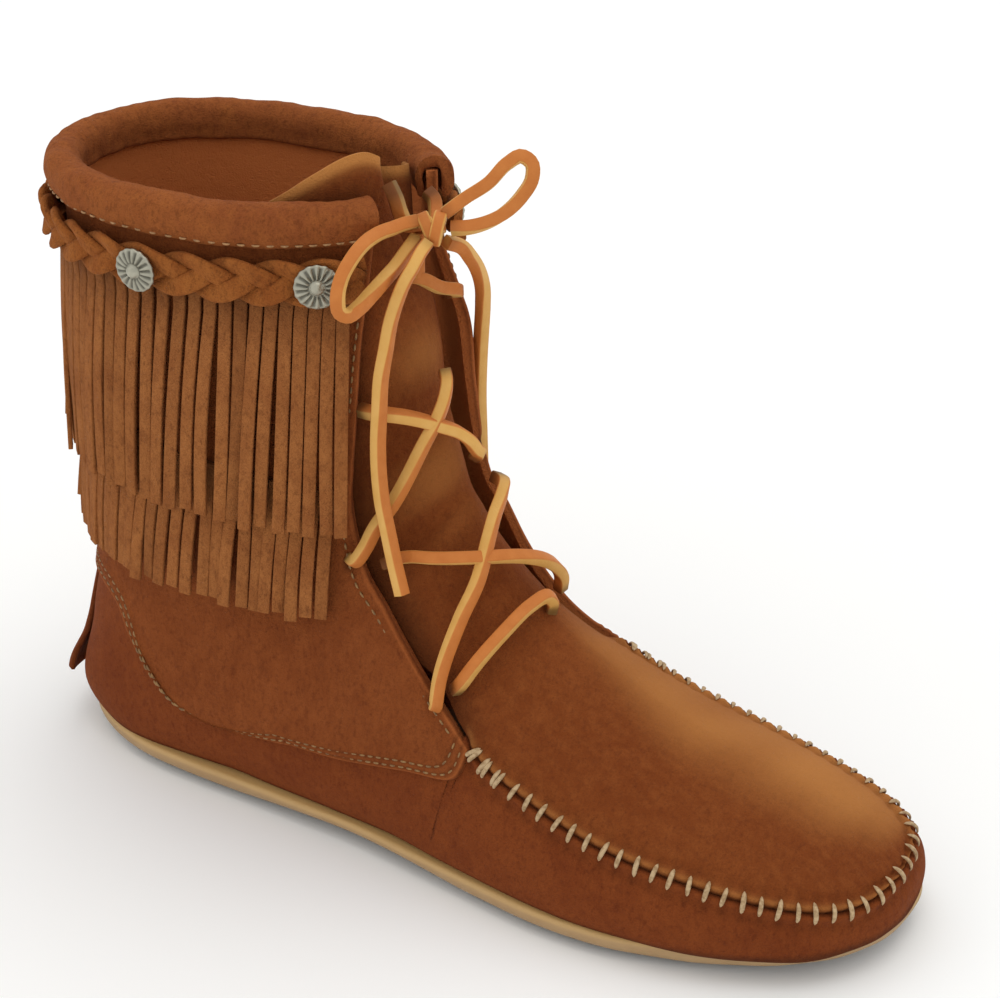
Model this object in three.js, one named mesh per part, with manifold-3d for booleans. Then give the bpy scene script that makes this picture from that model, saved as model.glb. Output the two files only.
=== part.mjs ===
// A moccasin ankle boot for the right foot: a hollow suede upper with a puckered
// moccasin seam, an open throat with a tongue under criss-crossed laces, a rolled
// cuff, a braid with metal conchos, two tiers of fringe and a thin rubber sole.
// Millimetres, +X towards the toe, +Y to the inner side of the foot, +Z up.
// The origin is on the floor under the middle of the heel.
import * as THREE from "three";
import { mergeVertices } from "three/addons/utils/BufferGeometryUtils.js";
import Module from "manifold-3d";

const wasm = await Module();
wasm.setup();

// Driving dimensions of the last
const LENGTH = 258;
const BALL_WIDTH = 92;
const INSTEP_HEIGHT = 84;
const COLLAR_HEIGHT = 183;
const HEEL_SET = 32;

// Sole
const LUG_HEIGHT = 2;
const SOLE_BODY = 6;
const SOLE_TOP = LUG_HEIGHT + SOLE_BODY;
const TOE_SPRING = 3;
const SPRING_START = 0.72;
const ARCH_RISE = 1.2;
const LUG_RADIUS = 3.8;
const LUG_PITCH = 19;
const LUG_MARGIN = 8;

// Suede and fits
const UPPER_WALL = 1.8;
const QUARTER_STEP = 1.3;
const TONGUE_WALL = 1.6;
const SEAT_GAP = 0.3;
// How far a flat facet may cut inside the curve that it stands for
const FACET_SAG = 0.4;
const INSOLE_THICKNESS = 2.4;
const INSOLE_INSET = 4;
const SEAM_RIDGE_RADIUS = 1.9;
const SEAM_RIDGE_LIFT = 0.4;
// How deep the quarter's step is sunk in the wall below it
const QUARTER_ROOT = 0.8;

// Throat: how far the flaps stand off the tongue, and how deep the throat is cut
const INNER_FLAP_LIFT = 5;
const OUTER_FLAP_LIFT = 1.8;
const THROAT_CUT = 14;

// Trim round the shaft; each drop is measured down from the collar's edge
const SHAFT_ROUND = 232;
const CUFF_DROP = 7;
const CUFF_BULGE = 3.2;
const CUFF_LINING = 2;
const CUFF_LINING_DROP = 7;
const BRAID_DROP = 8.5;
const BRAID_WIDTH = 13.5;
const BRAID_WALL = 1.2;
const BRAID_RELIEF = 2.4;
const BRAID_LOBES = 20;
const CONCHO_RADIUS = 5.9;
const CONCHO_DOME = 2.2;
const CONCHO_RIM = 0.8;
const STRIP_WALL = 1.3;
const STRIP_PITCH = 4.8;
const STRIP_GAP = 0.8;
const FRINGE_BAND = 6;
const STRIP_SWING = 1.2;
const STRIP_SWAY = 1.2;
const STRIP_UNEVEN = 3;
// How far a strip leans to the heel for each millimetre that it hangs down
const STRIP_LEAN = 0.07;
const LONG_FRINGE_TOP = 20;
const LONG_FRINGE_LENGTH = 69;
const SHORT_FRINGE_TOP = 66;
const SHORT_FRINGE_LENGTH = 54;

// Heel tab: heights of its ends above the floor, half its widths there, and how
// far its foot stands off the heel
const HEEL_TAB = { foot: 14, top: 50, footHalf: 10, topHalf: 4.5, stand: 2.4 };

// Laces: a square strap, and the knot as half sizes
const LACE = 3.3;
const KNOT = { x: 84.2, y: -7.5, z: 180.4, across: 4, deep: 4, tall: 4.6 };

// Layers over the quarter, from the inside out
const SHORT_LAY = QUARTER_STEP + SEAT_GAP + FACET_SAG;
const LONG_LAY = SHORT_LAY + 0.6 * STRIP_WALL;
const BRAID_LAY = LONG_LAY + STRIP_WALL + SEAT_GAP;
// A square strap turned on edge reaches 0.71 of its side from its middle
const LACE_LIFT = SHORT_LAY + 0.71 * LACE;
const TOP_LACE_LIFT = 1;

// Mesh counts, and the power that spreads a ring's points along the flat sole
const BASE_EVENING = 1.3;
const OUTER_RINGS = 26;
const OUTER_SIDES = 30;
const INNER_RINGS = 18;
const INNER_SIDES = 24;
const QUARTER_GRID = { round: 32, up: 8 };
const RIDGE_STEPS = 32;
const RIDGE_SIDES = 5;
const OUTLINE_STATIONS = 20;
const LACE_STEPS = 1.35;

const COLOURS = {
  suede: 0x8a4e24,
  suedeDark: 0x7a4220,
  rubber: 0xb08a55,
  lace: 0xc98a45,
  silver: 0x8d8a78,
  insole: 0x6f4a2c,
};

// Sole outline from the heel along the outer side, round the toe and back.
// along is a share of LENGTH, side a share of BALL_WIDTH.
const OUTLINE = [
  { along: 0.0, side: 0.0 },
  { along: 0.03, side: -0.2 },
  { along: 0.12, side: -0.33 },
  { along: 0.25, side: -0.36 },
  { along: 0.42, side: -0.385 },
  { along: 0.58, side: -0.455 },
  { along: 0.7, side: -0.485 },
  { along: 0.82, side: -0.42 },
  { along: 0.92, side: -0.295 },
  { along: 0.98, side: -0.13 },
  { along: 1.0, side: 0.07 },
  { along: 0.985, side: 0.235 },
  { along: 0.92, side: 0.38 },
  { along: 0.82, side: 0.455 },
  { along: 0.7, side: 0.485 },
  { along: 0.58, side: 0.42 },
  { along: 0.42, side: 0.33 },
  { along: 0.25, side: 0.335 },
  { along: 0.12, side: 0.32 },
  { along: 0.03, side: 0.2 },
];

// Sections of the last from the toe tip to above the collar. Each is a plane from
// its low point (sole, heel, back of the shaft) to its top point (vamp, instep,
// front of the shaft). x values are shares of LENGTH, levels run 0 floor,
// 1 instep, 2 collar, half widths are shares of BALL_WIDTH, belly is where the
// section is widest, and crown and base are the roundings above and below it.
const SECTIONS = [
  {
    topX: 1.0, top: 0.2, lowX: 1.0, low: 0.13,
    inner: 0.12, outer: 0.01, belly: 0.5, crown: 2.0, base: 2.0,
  },
  {
    topX: 0.985, top: 0.31, lowX: 0.99, low: 0.065,
    inner: 0.25, outer: 0.13, belly: 0.4, crown: 2.0, base: 2.2,
  },
  {
    topX: 0.945, top: 0.4, lowX: 0.955, low: 0.03,
    inner: 0.345, outer: 0.27, belly: 0.33, crown: 1.95, base: 2.5,
  },
  {
    topX: 0.88, top: 0.49, lowX: 0.89, low: 0.02,
    inner: 0.41, outer: 0.388, belly: 0.29, crown: 1.84, base: 2.8,
  },
  {
    topX: 0.8, top: 0.57, lowX: 0.8, low: 0.015,
    inner: 0.45, outer: 0.465, belly: 0.27, crown: 1.76, base: 3.0,
  },
  {
    topX: 0.71, top: 0.66, lowX: 0.7, low: 0.015,
    inner: 0.465, outer: 0.497, belly: 0.26, crown: 1.7, base: 3.0,
  },
  {
    topX: 0.625, top: 0.805, lowX: 0.59, low: 0.015,
    inner: 0.425, outer: 0.475, belly: 0.26, crown: 1.72, base: 3.0,
  },
  {
    topX: 0.555, top: 0.99, lowX: 0.44, low: 0.015,
    inner: 0.365, outer: 0.42, belly: 0.27, crown: 1.8, base: 3.0,
  },
  {
    topX: 0.505, top: 1.15, lowX: 0.25, low: 0.015,
    inner: 0.338, outer: 0.385, belly: 0.3, crown: 1.88, base: 3.0,
  },
  {
    topX: 0.48, top: 1.27, lowX: 0.05, low: 0.012,
    inner: 0.335, outer: 0.37, belly: 0.35, crown: 1.95, base: 3.0,
  },
  {
    topX: 0.466, top: 1.37, lowX: -0.002, low: 0.13,
    inner: 0.335, outer: 0.365, belly: 0.41, crown: 2.0, base: 2.7,
  },
  {
    topX: 0.455, top: 1.46, lowX: 0.012, low: 0.43,
    inner: 0.34, outer: 0.365, belly: 0.46, crown: 2.0, base: 2.4,
  },
  {
    topX: 0.44, top: 1.62, lowX: 0.034, low: 0.95,
    inner: 0.355, outer: 0.375, belly: 0.48, crown: 2.1, base: 2.2,
  },
  {
    topX: 0.425, top: 1.8, lowX: 0.024, low: 1.48,
    inner: 0.38, outer: 0.39, belly: 0.49, crown: 2.1, base: 2.2,
  },
  {
    topX: 0.415, top: 2.03, lowX: 0.012, low: 2.0,
    inner: 0.405, outer: 0.41, belly: 0.5, crown: 2.1, base: 2.2,
  },
  {
    topX: 0.412, top: 2.19, lowX: 0.008, low: 2.16,
    inner: 0.41, outer: 0.415, belly: 0.5, crown: 2.1, base: 2.2,
  },
];
const COLLAR_SECTION = SECTIONS.length - 2;

// Places on the last are { u, v }: u runs 0 at the toe tip to 1 at the collar, and
// v is a turn round the section, 0 low, 0.25 outer side, 0.5 top, 0.75 inner side.
// The moccasin seam, from the outer throat corner round the toe to the inner one.
const SEAM = [
  { u: 0.412, v: 0.343 },
  { u: 0.384, v: 0.333 },
  { u: 0.301, v: 0.331 },
  { u: 0.203, v: 0.326 },
  { u: 0.111, v: 0.32 },
  { u: 0.06, v: 0.335 },
  { u: 0.037, v: 0.4 },
  { u: 0.031, v: 0.48 },
  { u: 0.038, v: 0.56 },
  { u: 0.062, v: 0.615 },
  { u: 0.111, v: 0.633 },
  { u: 0.203, v: 0.628 },
  { u: 0.29, v: 0.612 },
  { u: 0.35, v: 0.597 },
];

// The throat's two edges, by height
const THROAT = [
  { u: 0.38, outer: 0.348, inner: 0.592 },
  { u: 0.45, outer: 0.363, inner: 0.578 },
  { u: 0.52, outer: 0.377, inner: 0.566 },
  { u: 0.61, outer: 0.389, inner: 0.556 },
  { u: 0.73, outer: 0.391, inner: 0.551 },
  { u: 0.82, outer: 0.402, inner: 0.556 },
  { u: 0.92, outer: 0.424, inner: 0.561 },
  { u: 1.1, outer: 0.452, inner: 0.566 },
];

// The quarter's lower edge, from the outer throat corner round the heel
const QUARTER_EDGE = [
  { u: 0.4, v: 0.336 },
  { u: 0.404, v: 0.306 },
  { u: 0.446, v: 0.281 },
  { u: 0.5, v: 0.254 },
  { u: 0.557, v: 0.237 },
  { u: 0.6, v: 0.236 },
  { u: 0.645, v: 0.228 },
  { u: 0.685, v: 0.205 },
  { u: 0.728, v: 0.145 },
  { u: 0.75, v: 0.07 },
  { u: 0.757, v: 0.0 },
  { u: 0.75, v: -0.07 },
  { u: 0.728, v: -0.145 },
  { u: 0.685, v: -0.205 },
  { u: 0.645, v: -0.228 },
  { u: 0.6, v: -0.236 },
  { u: 0.557, v: -0.237 },
  { u: 0.5, v: -0.254 },
  { u: 0.446, v: -0.284 },
  { u: 0.38, v: -0.335 },
  { u: 0.352, v: -0.392 },
];

const lerp = THREE.MathUtils.lerp;
const clamp = THREE.MathUtils.clamp;
const smoothstep = THREE.MathUtils.smoothstep;
const alongX = (share) => share * LENGTH - HEEL_SET;
const levelZ = (level) =>
  level <= 1
    ? level * INSTEP_HEIGHT
    : lerp(INSTEP_HEIGHT, COLLAR_HEIGHT, level - 1);

// Smooth interpolation of a table's columns between its rows, at the given knots.
function smoothRow(rows, knots, t) {
  let i = 1;
  while (i < knots.length - 1 && knots[i] < t) i++;
  const [t0, t1] = [knots[i - 1], knots[i]];
  const span = t1 - t0;
  const w = (t - t0) / span;
  const slope = (j, column) => {
    const rise = (k) => (rows[k + 1][column] - rows[k][column]) / (knots[k + 1] - knots[k]);
    if (j === 0) return rise(0);
    if (j === rows.length - 1) return rise(j - 1);
    const before = knots[j] - knots[j - 1];
    const after = knots[j + 1] - knots[j];
    return (rise(j - 1) * after + rise(j) * before) / (before + after);
  };
  const row = {};
  for (const column of Object.keys(rows[0])) {
    const [a, b] = [rows[i - 1][column], rows[i][column]];
    const [ma, mb] = [slope(i - 1, column) * span, slope(i, column) * span];
    row[column] =
      (2 * w ** 3 - 3 * w ** 2 + 1) * a +
      (w ** 3 - 2 * w ** 2 + w) * ma +
      (3 * w ** 2 - 2 * w ** 3) * b +
      (w ** 3 - w ** 2) * mb;
  }
  return row;
}

// A curve of { u, v } places, by share of its rows
const curveAt = (rows, share) =>
  smoothRow(rows, rows.map((_, i) => i), share * (rows.length - 1));
const throatAt = (u) => smoothRow(THROAT, THROAT.map((row) => row.u), u);

// Sections at real size, with the first one mirrored ahead of the toe tip so that
// the toe closes round
const realSections = SECTIONS.map((s) => ({
  topX: alongX(s.topX),
  topZ: levelZ(s.top),
  lowX: alongX(s.lowX),
  lowZ: levelZ(s.low),
  inner: s.inner * BALL_WIDTH,
  outer: s.outer * BALL_WIDTH,
  belly: s.belly,
  crown: s.crown,
  base: s.base,
}));
const [tip, second] = realSections;
const stations = [
  {
    ...second,
    topX: second.lowX,
    topZ: second.lowZ,
    lowX: second.topX,
    lowZ: second.topZ,
    inner: 2 * tip.inner - second.inner,
    outer: 2 * tip.outer - second.outer,
  },
  ...realSections,
];
const sectionStep = (a, b) =>
  0.5 * Math.hypot(b.topX - a.topX, b.topZ - a.topZ) +
  0.5 * Math.hypot(b.lowX - a.lowX, b.lowZ - a.lowZ) +
  0.25 * Math.abs(b.inner + b.outer - a.inner - a.outer);
const stationKnots = [0];
for (let i = 1; i < realSections.length; i++)
  stationKnots.push(stationKnots[i - 1] + sectionStep(realSections[i - 1], realSections[i]));
const collarKnot = stationKnots[COLLAR_SECTION];
stationKnots.unshift(-stationKnots[1]);

// A point of the last's surface
function lastPoint(u, v) {
  const s = smoothRow(stations, stationKnots, u * collarKnot);
  const angle = 2 * Math.PI * v;
  const rise = -Math.cos(angle);
  const turn = Math.sin(angle);
  const power = 2 / (rise < 0 ? s.base : s.crown);
  const climb = Math.abs(rise) ** power;
  const share = rise < 0 ? s.belly * (1 - climb) : s.belly + (1 - s.belly) * climb;
  const middle = (s.inner - s.outer) / 2;
  const half = (s.inner + s.outer) / 2;
  return new THREE.Vector3(
    lerp(s.lowX, s.topX, share),
    middle - half * Math.sign(turn) * Math.abs(turn) ** power,
    lerp(s.lowZ, s.topZ, share),
  );
}

const PROBE = 0.003;
function lastNormal(u, v) {
  const near = Math.max(u, 2 * PROBE);
  const along = lastPoint(near + PROBE, v).sub(lastPoint(near - PROBE, v));
  const round = lastPoint(near, v + PROBE).sub(lastPoint(near, v - PROBE));
  return round.cross(along).normalize();
}

// The flaps beside the throat stand off the tongue
function flapLift(u, v) {
  const turn = v - Math.floor(v);
  const height = smoothstep(u, 0.4, 0.56) * (1 - smoothstep(u, 0.8, 0.96));
  const inner = INNER_FLAP_LIFT * (1 - smoothstep(Math.abs(turn - 0.54), 0.02, 0.17));
  const outer = OUTER_FLAP_LIFT * (1 - smoothstep(Math.abs(turn - 0.4), 0.02, 0.1));
  return height * Math.max(inner, outer);
}
const onLast = (u, v, offset) => lastPoint(u, v).addScaledVector(lastNormal(u, v), offset);
const onUpper = (u, v, offset) => onLast(u, v, offset + flapLift(u, v));

// The u at which the surface lies a given drop below the collar
const LAST_END = 1.1;
function belowCollar(drop, v) {
  const target = lastPoint(1, v).z - drop;
  let [low, high] = [0.5, LAST_END];
  for (let i = 0; i < 24; i++) {
    const middle = (low + high) / 2;
    if (lastPoint(middle, v).z < target) low = middle;
    else high = middle;
  }
  return high;
}

// Closed geometry from points and faces, with its faces turned outwards
function closedGeometry(points, faces) {
  let volume = 0;
  for (const [a, b, c] of faces) volume += points[a].dot(points[b].clone().cross(points[c]));
  const turned = volume < 0 ? faces.map(([a, b, c]) => [a, c, b]) : faces;
  const geometry = new THREE.BufferGeometry();
  geometry.setAttribute(
    "position",
    new THREE.Float32BufferAttribute(points.flatMap((p) => [p.x, p.y, p.z]), 3),
  );
  geometry.setIndex(turned.flat());
  return geometry;
}

function solidOf(geometry) {
  const plain = geometry.clone();
  plain.deleteAttribute("normal");
  plain.deleteAttribute("uv");
  const merged = mergeVertices(plain, 1e-4);
  return new wasm.Manifold(
    new wasm.Mesh({
      numProp: 3,
      vertProperties: merged.attributes.position.array,
      triVerts: new Uint32Array(merged.index.array),
    }),
  );
}

function geometryOf(solid) {
  const mesh = solid.getMesh();
  const geometry = new THREE.BufferGeometry();
  geometry.setAttribute("position", new THREE.BufferAttribute(mesh.vertProperties, 3));
  geometry.setIndex(new THREE.BufferAttribute(mesh.triVerts, 1));
  return geometry;
}

// A closed block over a grid: at(i, j, far) gives its points on two sides
function blockGeometry(countI, countJ, at) {
  const points = [];
  for (const far of [0, 1])
    for (let i = 0; i <= countI; i++)
      for (let j = 0; j <= countJ; j++) points.push(at(i / countI, j / countJ, far));
  const row = countJ + 1;
  const layer = (countI + 1) * row;
  const id = (i, j, far) => far * layer + i * row + j;
  const faces = [];
  const quad = (a, b, c, d) => faces.push([a, b, c], [a, c, d]);
  for (let i = 0; i < countI; i++)
    for (let j = 0; j < countJ; j++) {
      quad(id(i, j, 0), id(i, j + 1, 0), id(i + 1, j + 1, 0), id(i + 1, j, 0));
      quad(id(i, j, 1), id(i + 1, j, 1), id(i + 1, j + 1, 1), id(i, j + 1, 1));
    }
  for (let i = 0; i < countI; i++) {
    quad(id(i, 0, 0), id(i + 1, 0, 0), id(i + 1, 0, 1), id(i, 0, 1));
    quad(id(i, countJ, 0), id(i, countJ, 1), id(i + 1, countJ, 1), id(i + 1, countJ, 0));
  }
  for (let j = 0; j < countJ; j++) {
    quad(id(0, j, 0), id(0, j, 1), id(0, j + 1, 1), id(0, j + 1, 0));
    quad(id(countI, j, 0), id(countI, j + 1, 0), id(countI, j + 1, 1), id(countI, j, 1));
  }
  return closedGeometry(points, faces);
}

// A closed tube through rings of points, capped at both ends
function ringsGeometry(rings) {
  const count = rings[0].length;
  const points = rings.flat();
  const faces = [];
  for (let i = 0; i < rings.length - 1; i++)
    for (let j = 0; j < count; j++) {
      const k = (j + 1) % count;
      const [a, b] = [i * count, (i + 1) * count];
      faces.push([a + j, a + k, b + k], [a + j, b + k, b + j]);
    }
  for (const [start, first] of [[0, true], [(rings.length - 1) * count, false]]) {
    const centre = new THREE.Vector3();
    for (let j = 0; j < count; j++) centre.addScaledVector(points[start + j], 1 / count);
    points.push(centre);
    for (let j = 0; j < count; j++) {
      const [a, b] = [start + j, start + ((j + 1) % count)];
      faces.push(first ? [points.length - 1, b, a] : [points.length - 1, a, b]);
    }
  }
  return closedGeometry(points, faces);
}

// Turns round a section, evened out where the rounded box shape would bunch them
function evenTurns(count) {
  return Array.from({ length: count }, (_, k) => {
    const angle = (2 * Math.PI * k) / count;
    const [s, c] = [Math.sin(angle), Math.cos(angle)];
    if (c <= 0) return k / count;
    const even = Math.atan2(Math.sign(s) * Math.abs(s) ** BASE_EVENING, c ** BASE_EVENING);
    return even / (2 * Math.PI);
  });
}

// The whole last at an offset, as a filled form that runs past the collar
const TOE_START = 0.004;
const PAST_COLLAR = 1.06;
function lastForm(offset, countU, countV, endU) {
  const turns = evenTurns(countV);
  const rings = [];
  for (let i = 0; i <= countU; i++) {
    const share = i / countU;
    const u = lerp(TOE_START, endU, 0.25 * share ** 2 + 0.75 * share);
    rings.push(turns.map((v) => onUpper(u, v, offset)));
  }
  return ringsGeometry(rings);
}

// The sole's outline as outer and inner sides at the same stations along it
const outlineCurve = new THREE.CatmullRomCurve3(
  OUTLINE.map(({ along, side }) => new THREE.Vector3(alongX(along), side * BALL_WIDTH, 0)),
  true,
  "catmullrom",
  0.5,
);
const outlinePoints = outlineCurve.getPoints(400);
const heelX = Math.min(...outlinePoints.map((p) => p.x));
const toeX = Math.max(...outlinePoints.map((p) => p.x));
function outlineSides(x) {
  const sides = { outer: 0, inner: 0 };
  outlinePoints.slice(1).forEach((q, i) => {
    const p = outlinePoints[i];
    if (Math.min(p.x, q.x) > x || Math.max(p.x, q.x) < x || p.x === q.x) return;
    const y = lerp(p.y, q.y, (x - p.x) / (q.x - p.x));
    sides[q.x > p.x ? "outer" : "inner"] = y;
  });
  return sides;
}
const springZ = (x) => {
  const share = (x + HEEL_SET) / LENGTH;
  return TOE_SPRING * clamp((share - SPRING_START) / (1 - SPRING_START), 0, 1.1) ** 2;
};
const archZ = (x) => {
  const share = (x + HEEL_SET) / LENGTH;
  return ARCH_RISE * smoothstep(share, 0.24, 0.36) * (1 - smoothstep(share, 0.46, 0.58));
};

// A slab with the sole's outline: at each layer, grow widens it and z gives its height
const END_INSET = 0.002;
function outlineSlab(layers, heightAt) {
  const middleX = (heelX + toeX) / 2;
  const spanX = toeX - heelX;
  const stationsX = Array.from({ length: OUTLINE_STATIONS + 1 }, (_, i) => {
    const share = (1 - Math.cos((Math.PI * i) / OUTLINE_STATIONS)) / 2;
    return heelX + spanX * lerp(END_INSET, 1 - END_INSET, share);
  });
  const ladders = layers.map((layer) =>
    stationsX.map((x) => {
      const { outer, inner } = outlineSides(x);
      const wide = middleX + (x - middleX) * (1 + (2 * layer.grow) / spanX);
      const share = clamp(Math.min(x - heelX, toeX - x) / 6, 0.15, 1);
      const grow = layer.grow * share;
      const z = heightAt(layer, wide);
      return [new THREE.Vector3(wide, outer - grow, z), new THREE.Vector3(wide, inner + grow, z)];
    }),
  );
  const points = ladders.flat(2);
  const id = (layer, station, side) => (layer * stationsX.length + station) * 2 + side;
  const faces = [];
  const quad = (a, b, c, d) => faces.push([a, b, c], [a, c, d]);
  const last = layers.length - 1;
  for (let s = 0; s < OUTLINE_STATIONS; s++) {
    quad(id(0, s, 0), id(0, s, 1), id(0, s + 1, 1), id(0, s + 1, 0));
    quad(id(last, s, 0), id(last, s + 1, 0), id(last, s + 1, 1), id(last, s, 1));
    for (let l = 0; l < last; l++) {
      quad(id(l, s, 0), id(l, s + 1, 0), id(l + 1, s + 1, 0), id(l + 1, s, 0));
      quad(id(l, s, 1), id(l + 1, s, 1), id(l + 1, s + 1, 1), id(l, s + 1, 1));
    }
  }
  for (let l = 0; l < last; l++) {
    const end = OUTLINE_STATIONS;
    quad(id(l, 0, 0), id(l + 1, 0, 0), id(l + 1, 0, 1), id(l, 0, 1));
    quad(id(l, end, 0), id(l, end, 1), id(l + 1, end, 1), id(l + 1, end, 0));
  }
  return closedGeometry(points, faces);
}

// Outsole: a thin body with rounded sides on round lugs under the heel and forefoot
function outsole() {
  const layers = [
    { z: LUG_HEIGHT, grow: -3, under: 1 },
    { z: LUG_HEIGHT + 0.25 * SOLE_BODY, grow: -0.6, under: 1 },
    { z: LUG_HEIGHT + 0.6 * SOLE_BODY, grow: 0.5, under: 0 },
    { z: SOLE_TOP - 0.15 * SOLE_BODY, grow: 0.2, under: 0 },
    { z: SOLE_TOP, grow: -0.8, under: 0 },
  ];
  let sole = solidOf(
    outlineSlab(layers, (layer, x) => layer.z + springZ(x) + layer.under * archZ(x)),
  );
  const rowStep = LUG_PITCH * Math.sin(Math.PI / 3);
  for (let row = -2; row * rowStep < toeX - LUG_MARGIN; row++) {
    const x = row * rowStep;
    if (archZ(x) > 0 || x < heelX + LUG_MARGIN || springZ(x) > 0.45 * TOE_SPRING) continue;
    const { outer, inner } = outlineSides(x);
    const shift = row % 2 ? LUG_PITCH / 2 : 0;
    for (let k = -4; k <= 4; k++) {
      const y = k * LUG_PITCH + shift;
      if (y < outer + LUG_MARGIN || y > inner - LUG_MARGIN) continue;
      const lug = new THREE.CylinderGeometry(LUG_RADIUS * 1.15, LUG_RADIUS, LUG_HEIGHT + 1, 6);
      lug.rotateX(Math.PI / 2);
      lug.translate(x, y, (LUG_HEIGHT + 1) / 2 + springZ(x));
      sole = sole.add(solidOf(lug));
    }
  }
  return geometryOf(sole);
}

function insole() {
  const seat = SOLE_TOP + SEAT_GAP;
  const layers = [
    { z: seat, grow: -INSOLE_INSET },
    { z: seat + INSOLE_THICKNESS, grow: -INSOLE_INSET },
  ];
  const bed = solidOf(outlineSlab(layers, (layer, x) => layer.z + springZ(x)));
  const inside = solidOf(lastForm(-UPPER_WALL - SEAT_GAP, INNER_RINGS, INNER_SIDES, PAST_COLLAR));
  return geometryOf(bed.intersect(inside));
}

// Everything under the sole's top, to open the upper underneath
const GROUND_MARGIN = 30;
function groundBlock() {
  return blockGeometry(24, 1, (i, j, far) => {
    const x = lerp(heelX - GROUND_MARGIN, toeX + GROUND_MARGIN, i);
    const z = far ? SOLE_TOP + SEAT_GAP + springZ(x) : -GROUND_MARGIN;
    return new THREE.Vector3(x, lerp(-BALL_WIDTH, BALL_WIDTH, j), z);
  });
}

// The open throat between the two flaps
const THROAT_FOOT = { outer: 0.402, inner: 0.352 };
const THROAT_TOP = THROAT[THROAT.length - 1].u;
function throatBlock() {
  return blockGeometry(16, 6, (i, j, far) => {
    const u = lerp(lerp(THROAT_FOOT.outer, THROAT_FOOT.inner, j), THROAT_TOP, i);
    const { outer, inner } = throatAt(u);
    return onUpper(u, lerp(outer, inner, j), far ? THROAT_CUT : -THROAT_CUT);
  });
}

// The quarter wraps the shaft over the lower upper, from one flap round to the other.
// Its columns climb from the lower edge to the collar; the outer ones follow the
// flaps' edges, and the pull of the edges fades towards the back.
const QUARTER_PULL = 3;
function quarterBlock() {
  const flapTop = throatAt(1);
  const flapFoot = throatAt(QUARTER_EDGE[0].u);
  return blockGeometry(QUARTER_GRID.round, QUARTER_GRID.up, (i, j, far) => {
    const side = i < 0.5 ? "outer" : "inner";
    const towardsFlap = Math.abs(2 * i - 1);
    const edge = curveAt(QUARTER_EDGE, i);
    const u = lerp(edge.u, 1, j);
    const collarV = towardsFlap * (side === "outer" ? flapTop.outer : flapTop.inner - 1);
    const flapV = throatAt(Math.max(u, THROAT[0].u))[side];
    const straightV = lerp(flapFoot[side], flapTop[side], j);
    const bend = (flapV - straightV) * towardsFlap ** QUARTER_PULL;
    return onUpper(u, lerp(edge.v, collarV, j) + bend, far ? QUARTER_STEP : -QUARTER_ROOT);
  });
}

// The puckered ridge where the lower upper and the plug are sewn together
function seamRidge() {
  const path = Array.from({ length: RIDGE_STEPS + 1 }, (_, i) => {
    const { u, v } = curveAt(SEAM, i / RIDGE_STEPS);
    return { point: onUpper(u, v, SEAM_RIDGE_LIFT), normal: lastNormal(u, v) };
  });
  const rings = path.map(({ point, normal }, i) => {
    const ahead = path[Math.min(i + 1, RIDGE_STEPS)].point;
    const behind = path[Math.max(i - 1, 0)].point;
    const across = ahead.clone().sub(behind).normalize().cross(normal).normalize();
    return Array.from({ length: RIDGE_SIDES }, (_, k) => {
      const angle = (2 * Math.PI * k) / RIDGE_SIDES;
      return point
        .clone()
        .addScaledVector(normal, SEAM_RIDGE_RADIUS * Math.sin(angle))
        .addScaledVector(across, SEAM_RIDGE_RADIUS * Math.cos(angle));
    });
  });
  return ringsGeometry(rings);
}

function upper() {
  const filled = solidOf(lastForm(0, OUTER_RINGS, OUTER_SIDES, 1));
  const shell = filled.add(solidOf(quarterBlock())).add(solidOf(seamRidge()));
  const inside = solidOf(lastForm(-UPPER_WALL, INNER_RINGS, INNER_SIDES, PAST_COLLAR));
  const hollow = shell.subtract(inside);
  const open = hollow.subtract(solidOf(groundBlock())).subtract(solidOf(throatBlock()));
  const pieces = open.decompose().sort((a, b) => b.volume() - a.volume());
  return geometryOf(pieces[0]);
}

// The tongue lies under the flaps and stands above the collar. Its top edge, by
// turn, peaks beside the outer flap, and past a crest it is folded into the shaft.
const TONGUE = [
  { u: 0.33, outer: 0.36, inner: 0.59 },
  { u: 0.42, outer: 0.335, inner: 0.61 },
  { u: 0.6, outer: 0.35, inner: 0.6 },
  { u: 0.8, outer: 0.34, inner: 0.61 },
  { u: 1.1, outer: 0.33, inner: 0.6 },
];
const TONGUE_TOP = [
  { v: 0.33, rise: 1 },
  { v: 0.38, rise: 8 },
  { v: 0.44, rise: 13 },
  { v: 0.5, rise: 6 },
  { v: 0.6, rise: 0 },
];
const TONGUE_FOLD = { depth: 9, crest: 0.46, width: 0.05, far: 0.53 };
function tongueFold(u, v) {
  const { depth, crest, width, far } = TONGUE_FOLD;
  const line = crest + 0.5 * Math.max(1.02 - u, 0);
  const dip = smoothstep(v, line, line + width) * (1 - smoothstep(v, far, far + width));
  return depth * smoothstep(u, 0.86, 0.96) * dip;
}
function tongue() {
  const under = -UPPER_WALL - 2 * SEAT_GAP;
  const inCuff = under - CUFF_LINING - 3 * FACET_SAG;
  return blockGeometry(12, 9, (i, j, far) => {
    const topV = lerp(TONGUE[4].outer, TONGUE[4].inner, j);
    const { rise } = smoothRow(TONGUE_TOP, TONGUE_TOP.map((row) => row.v), topV);
    const u = lerp(TONGUE[0].u, belowCollar(-rise, topV), i);
    const { outer, inner } = smoothRow(TONGUE, TONGUE.map((row) => row.u), u);
    const v = lerp(outer, inner, j);
    const lay = lerp(under, inCuff, smoothstep(u, 0.84, 0.93)) - tongueFold(u, v);
    return onLast(u, v, far ? lay - TONGUE_WALL : lay);
  });
}

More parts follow.
